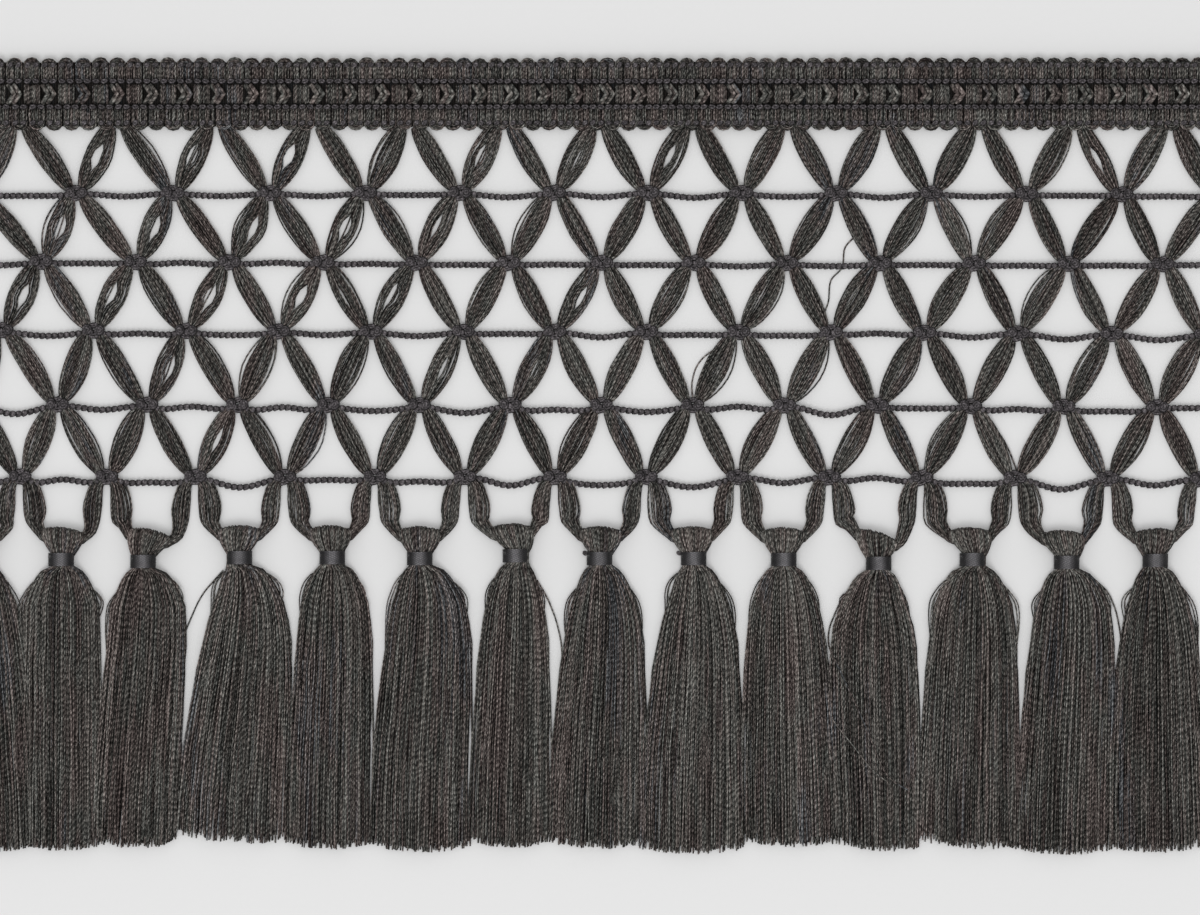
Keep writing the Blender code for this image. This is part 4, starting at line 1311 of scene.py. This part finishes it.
def make_tassel(number, sizes):
    """One tassel: a hank of yarn from its hem up the back, over the loop and down the front."""
    back, front = skirt_layer(number, False), skirt_layer(number, True)
    route = [*reversed(back), *head_fold(number), *front]
    points, ways, thicks, crowns = (list(column) for column in zip(*route))
    shoulder_y = back[0][0][1]
    looses = [min(1.0, max(LOOSE_IN_HEAD, (shoulder_y - y) / LOOSE_RUN)) for _, y, _ in points]
    guides = Guides()
    guides.line(points, reach=ways, thick=thicks, crown=crowns, loose=looses)
    name = f"tassel_{number:02d}_yarn"
    strands, radius, ragged = sizes.strands, sizes.yarn, sizes.ragged
    return lay_yarn(name, guides, "heather_tassel", "tassel", strands, radius, number, raggedness=ragged)


def make_strays(number, sizes):
    """A few outer yarns that have bowed away from both sides of a skirt."""
    chance = random.Random(YARN_LAY["strays"]["seed"] + number)
    skirt = skirt_layer(number, True)
    guides = Guides()
    for side in (-1, 1):
        rows = skirt[chance.randint(*STRAYS["from"]):chance.randint(*STRAYS["to"])]
        reach = chance.uniform(*STRAYS["reach"])
        points = []
        for step, ((x, y, z), way, _, crown) in enumerate(rows):
            out = way[0] - STRAYS["tucked"] + reach * math.sin(math.pi * step / (len(rows) - 1))
            points.append((x + side * out, y, z - crown[2]))
        guides.line(points, reach=(STRAYS["spread"], 0.0, 0.0), thick=STRAYS["thick"], loose=1.0)
    name, yarns, radius = f"tassel_{number:02d}_strays", STRAYS["yarns"], sizes.yarn * FINE_YARN
    ragged = STRAYS["raggedness"]
    return lay_yarn(name, guides, "heather_tassel", "strays", yarns, radius, number, raggedness=ragged)


class TRIM_OT_tassels(bpy.types.Operator):
    """Build the tassels, each a hank of yarn folded over its hanging loop"""

    bl_idname = "trim.tassels"
    bl_label = "Tassels"

    def execute(self, context):
        sizes = context.scene.trim_tassels
        for number in range(len(TASSELS)):
            for piece in (make_tassel(number, sizes), make_strays(number, sizes)):
                place_piece(piece, "tassel_yarn", f"tassel_{number:02d}")
        return {"FINISHED"}


def make_binding(number, sizes):
    """The thread wound round a neck."""
    _, head_y = head_place(number)
    low_drop = BINDING["start"] + BINDING["length"]
    (centre,) = in_metres([(tassel_middle(number, low_drop), head_y - low_drop, BINDING["z"])])
    name = f"binding_{number:02d}_thread"
    return grow(
        name, "Wind thread", bpy.data.meshes.new(f"{name} guides"), "satin_thread",
        turns=float(sizes.turns), turn_steps=BINDING["turn_steps"], half_width=BINDING["half_width"] * MM,
        half_height=BINDING["half_height"] * MM, length=BINDING["length"] * MM, centre=centre,
        thread_radius=sizes.thread, sides=4,
    )


def make_binding_end(number, sizes):
    """The end of the binding thread, doubled back on itself beside the neck."""
    _, head_y = head_place(number)
    end = BINDING_END
    x, y = tassel_middle(number, end["drop"]) + end["x"], head_y - end["drop"]
    points = [(x + share * end["reach"], y + rise, end["z"]) for share, rise in BINDING_END_WAY]
    guides = Guides()
    guides.line(points, reach=(0.0, end["half"], 0.0), thick=end["thick"], loose=1.0)
    name = f"binding_{number:02d}_end"
    return lay_yarn(name, guides, "stitch_thread", "end", end["yarns"], sizes.thread, number)


class TRIM_OT_bindings(bpy.types.Operator):
    """Wind the binding threads round the tassels' necks"""

    bl_idname = "trim.bindings"
    bl_label = "Neck bindings"

    def execute(self, context):
        sizes = context.scene.trim_tassels
        for number in range(len(TASSELS)):
            place_piece(make_binding(number, sizes), "binding_thread", f"binding_{number:02d}")
        for number in BINDING_ENDS:
            place_piece(make_binding_end(number, sizes), "binding_thread", f"binding_{number:02d}")
        return {"FINISHED"}


# Stage


def make_floor():
    half = FLOOR_SIZE / 2 * MM
    corners = [(-half, -half, 0), (half, -half, 0), (half, half, 0), (-half, half, 0)]
    mesh = bpy.data.meshes.new("floor")
    mesh.from_pydata(corners, [], [(0, 1, 2, 3)])
    mesh.materials.append(floor_material())
    add_object("floor", mesh)


def make_light(light):
    lamp = bpy.data.lights.new(light["name"], "AREA")
    lamp.shape = "DISK"
    lamp.size = light["size"] * MM
    lamp.energy = light["power"]
    obj = add_object(light["name"], lamp)
    x, y, z = (part * MM for part in light["place"])
    obj.location = (x, y, z)
    obj.rotation_euler = (math.atan2(math.hypot(x, y), z), 0.0, math.atan2(x, -y))


def make_camera():
    camera = bpy.data.cameras.new("camera")
    camera.sensor_fit = "HORIZONTAL"
    camera.sensor_width = SENSOR_WIDTH
    camera.lens = SENSOR_WIDTH * CAMERA["distance"] / CAMERA["width"]
    obj = add_object("camera", camera)
    obj.location = (CAMERA["x"] * MM, CAMERA["y"] * MM, CAMERA["distance"] * MM)
    bpy.context.scene.camera = obj


def make_world():
    world = bpy.data.worlds.new("studio")
    world.use_nodes = True
    background = world.node_tree.nodes["Background"]
    background.inputs["Color"].default_value = (1.0, 1.0, 1.0, 1.0)
    background.inputs["Strength"].default_value = WORLD_STRENGTH
    bpy.context.scene.world = world


class TRIM_OT_stage(bpy.types.Operator):
    """Set up the pale floor, the soft lights and the camera above the trim"""

    bl_idname = "trim.stage"
    bl_label = "Stage"

    def execute(self, context):
        make_floor()
        make_world()
        for light in LIGHTS:
            make_light(light)
        make_camera()
        context.scene.view_settings.view_transform = "Standard"
        return {"FINISHED"}


OPERATORS = (
    TRIM_OT_stage, TRIM_OT_heading, TRIM_OT_lattice, TRIM_OT_chains, TRIM_OT_tassels, TRIM_OT_bindings,
)
GROUPS = {
    "trim_heading": HeadingSizes, "trim_lattice": LatticeSizes, "trim_tassels": TasselSizes,
    "trim_colours": YarnColours,
}


class TRIM_PT_panel(bpy.types.Panel):
    """Sizes, colours and building steps of the trim"""

    bl_idname = "TRIM_PT_panel"
    bl_label = "Tassel fringe trim"
    bl_space_type = "VIEW_3D"
    bl_region_type = "UI"
    bl_category = "Trim"

    def draw(self, context):
        for name, group in GROUPS.items():
            box = self.layout.box()
            for prop in group.__annotations__:
                box.prop(getattr(context.scene, name), prop)
        for operator in OPERATORS:
            self.layout.operator(operator.bl_idname)


def register():
    for part in (*GROUPS.values(), *OPERATORS, TRIM_PT_panel):
        bpy.utils.register_class(part)
    for name, group in GROUPS.items():
        setattr(bpy.types.Scene, name, PointerProperty(type=group))


def unregister():
    for name in GROUPS:
        delattr(bpy.types.Scene, name)
    for part in reversed((*GROUPS.values(), *OPERATORS, TRIM_PT_panel)):
        bpy.utils.unregister_class(part)


def main():
    register()
    bpy.ops.trim.stage()
    bpy.ops.trim.heading()
    bpy.ops.trim.lattice()
    bpy.ops.trim.chains()
    bpy.ops.trim.tassels()
    bpy.ops.trim.bindings()


if __name__ == "__main__":
    main()
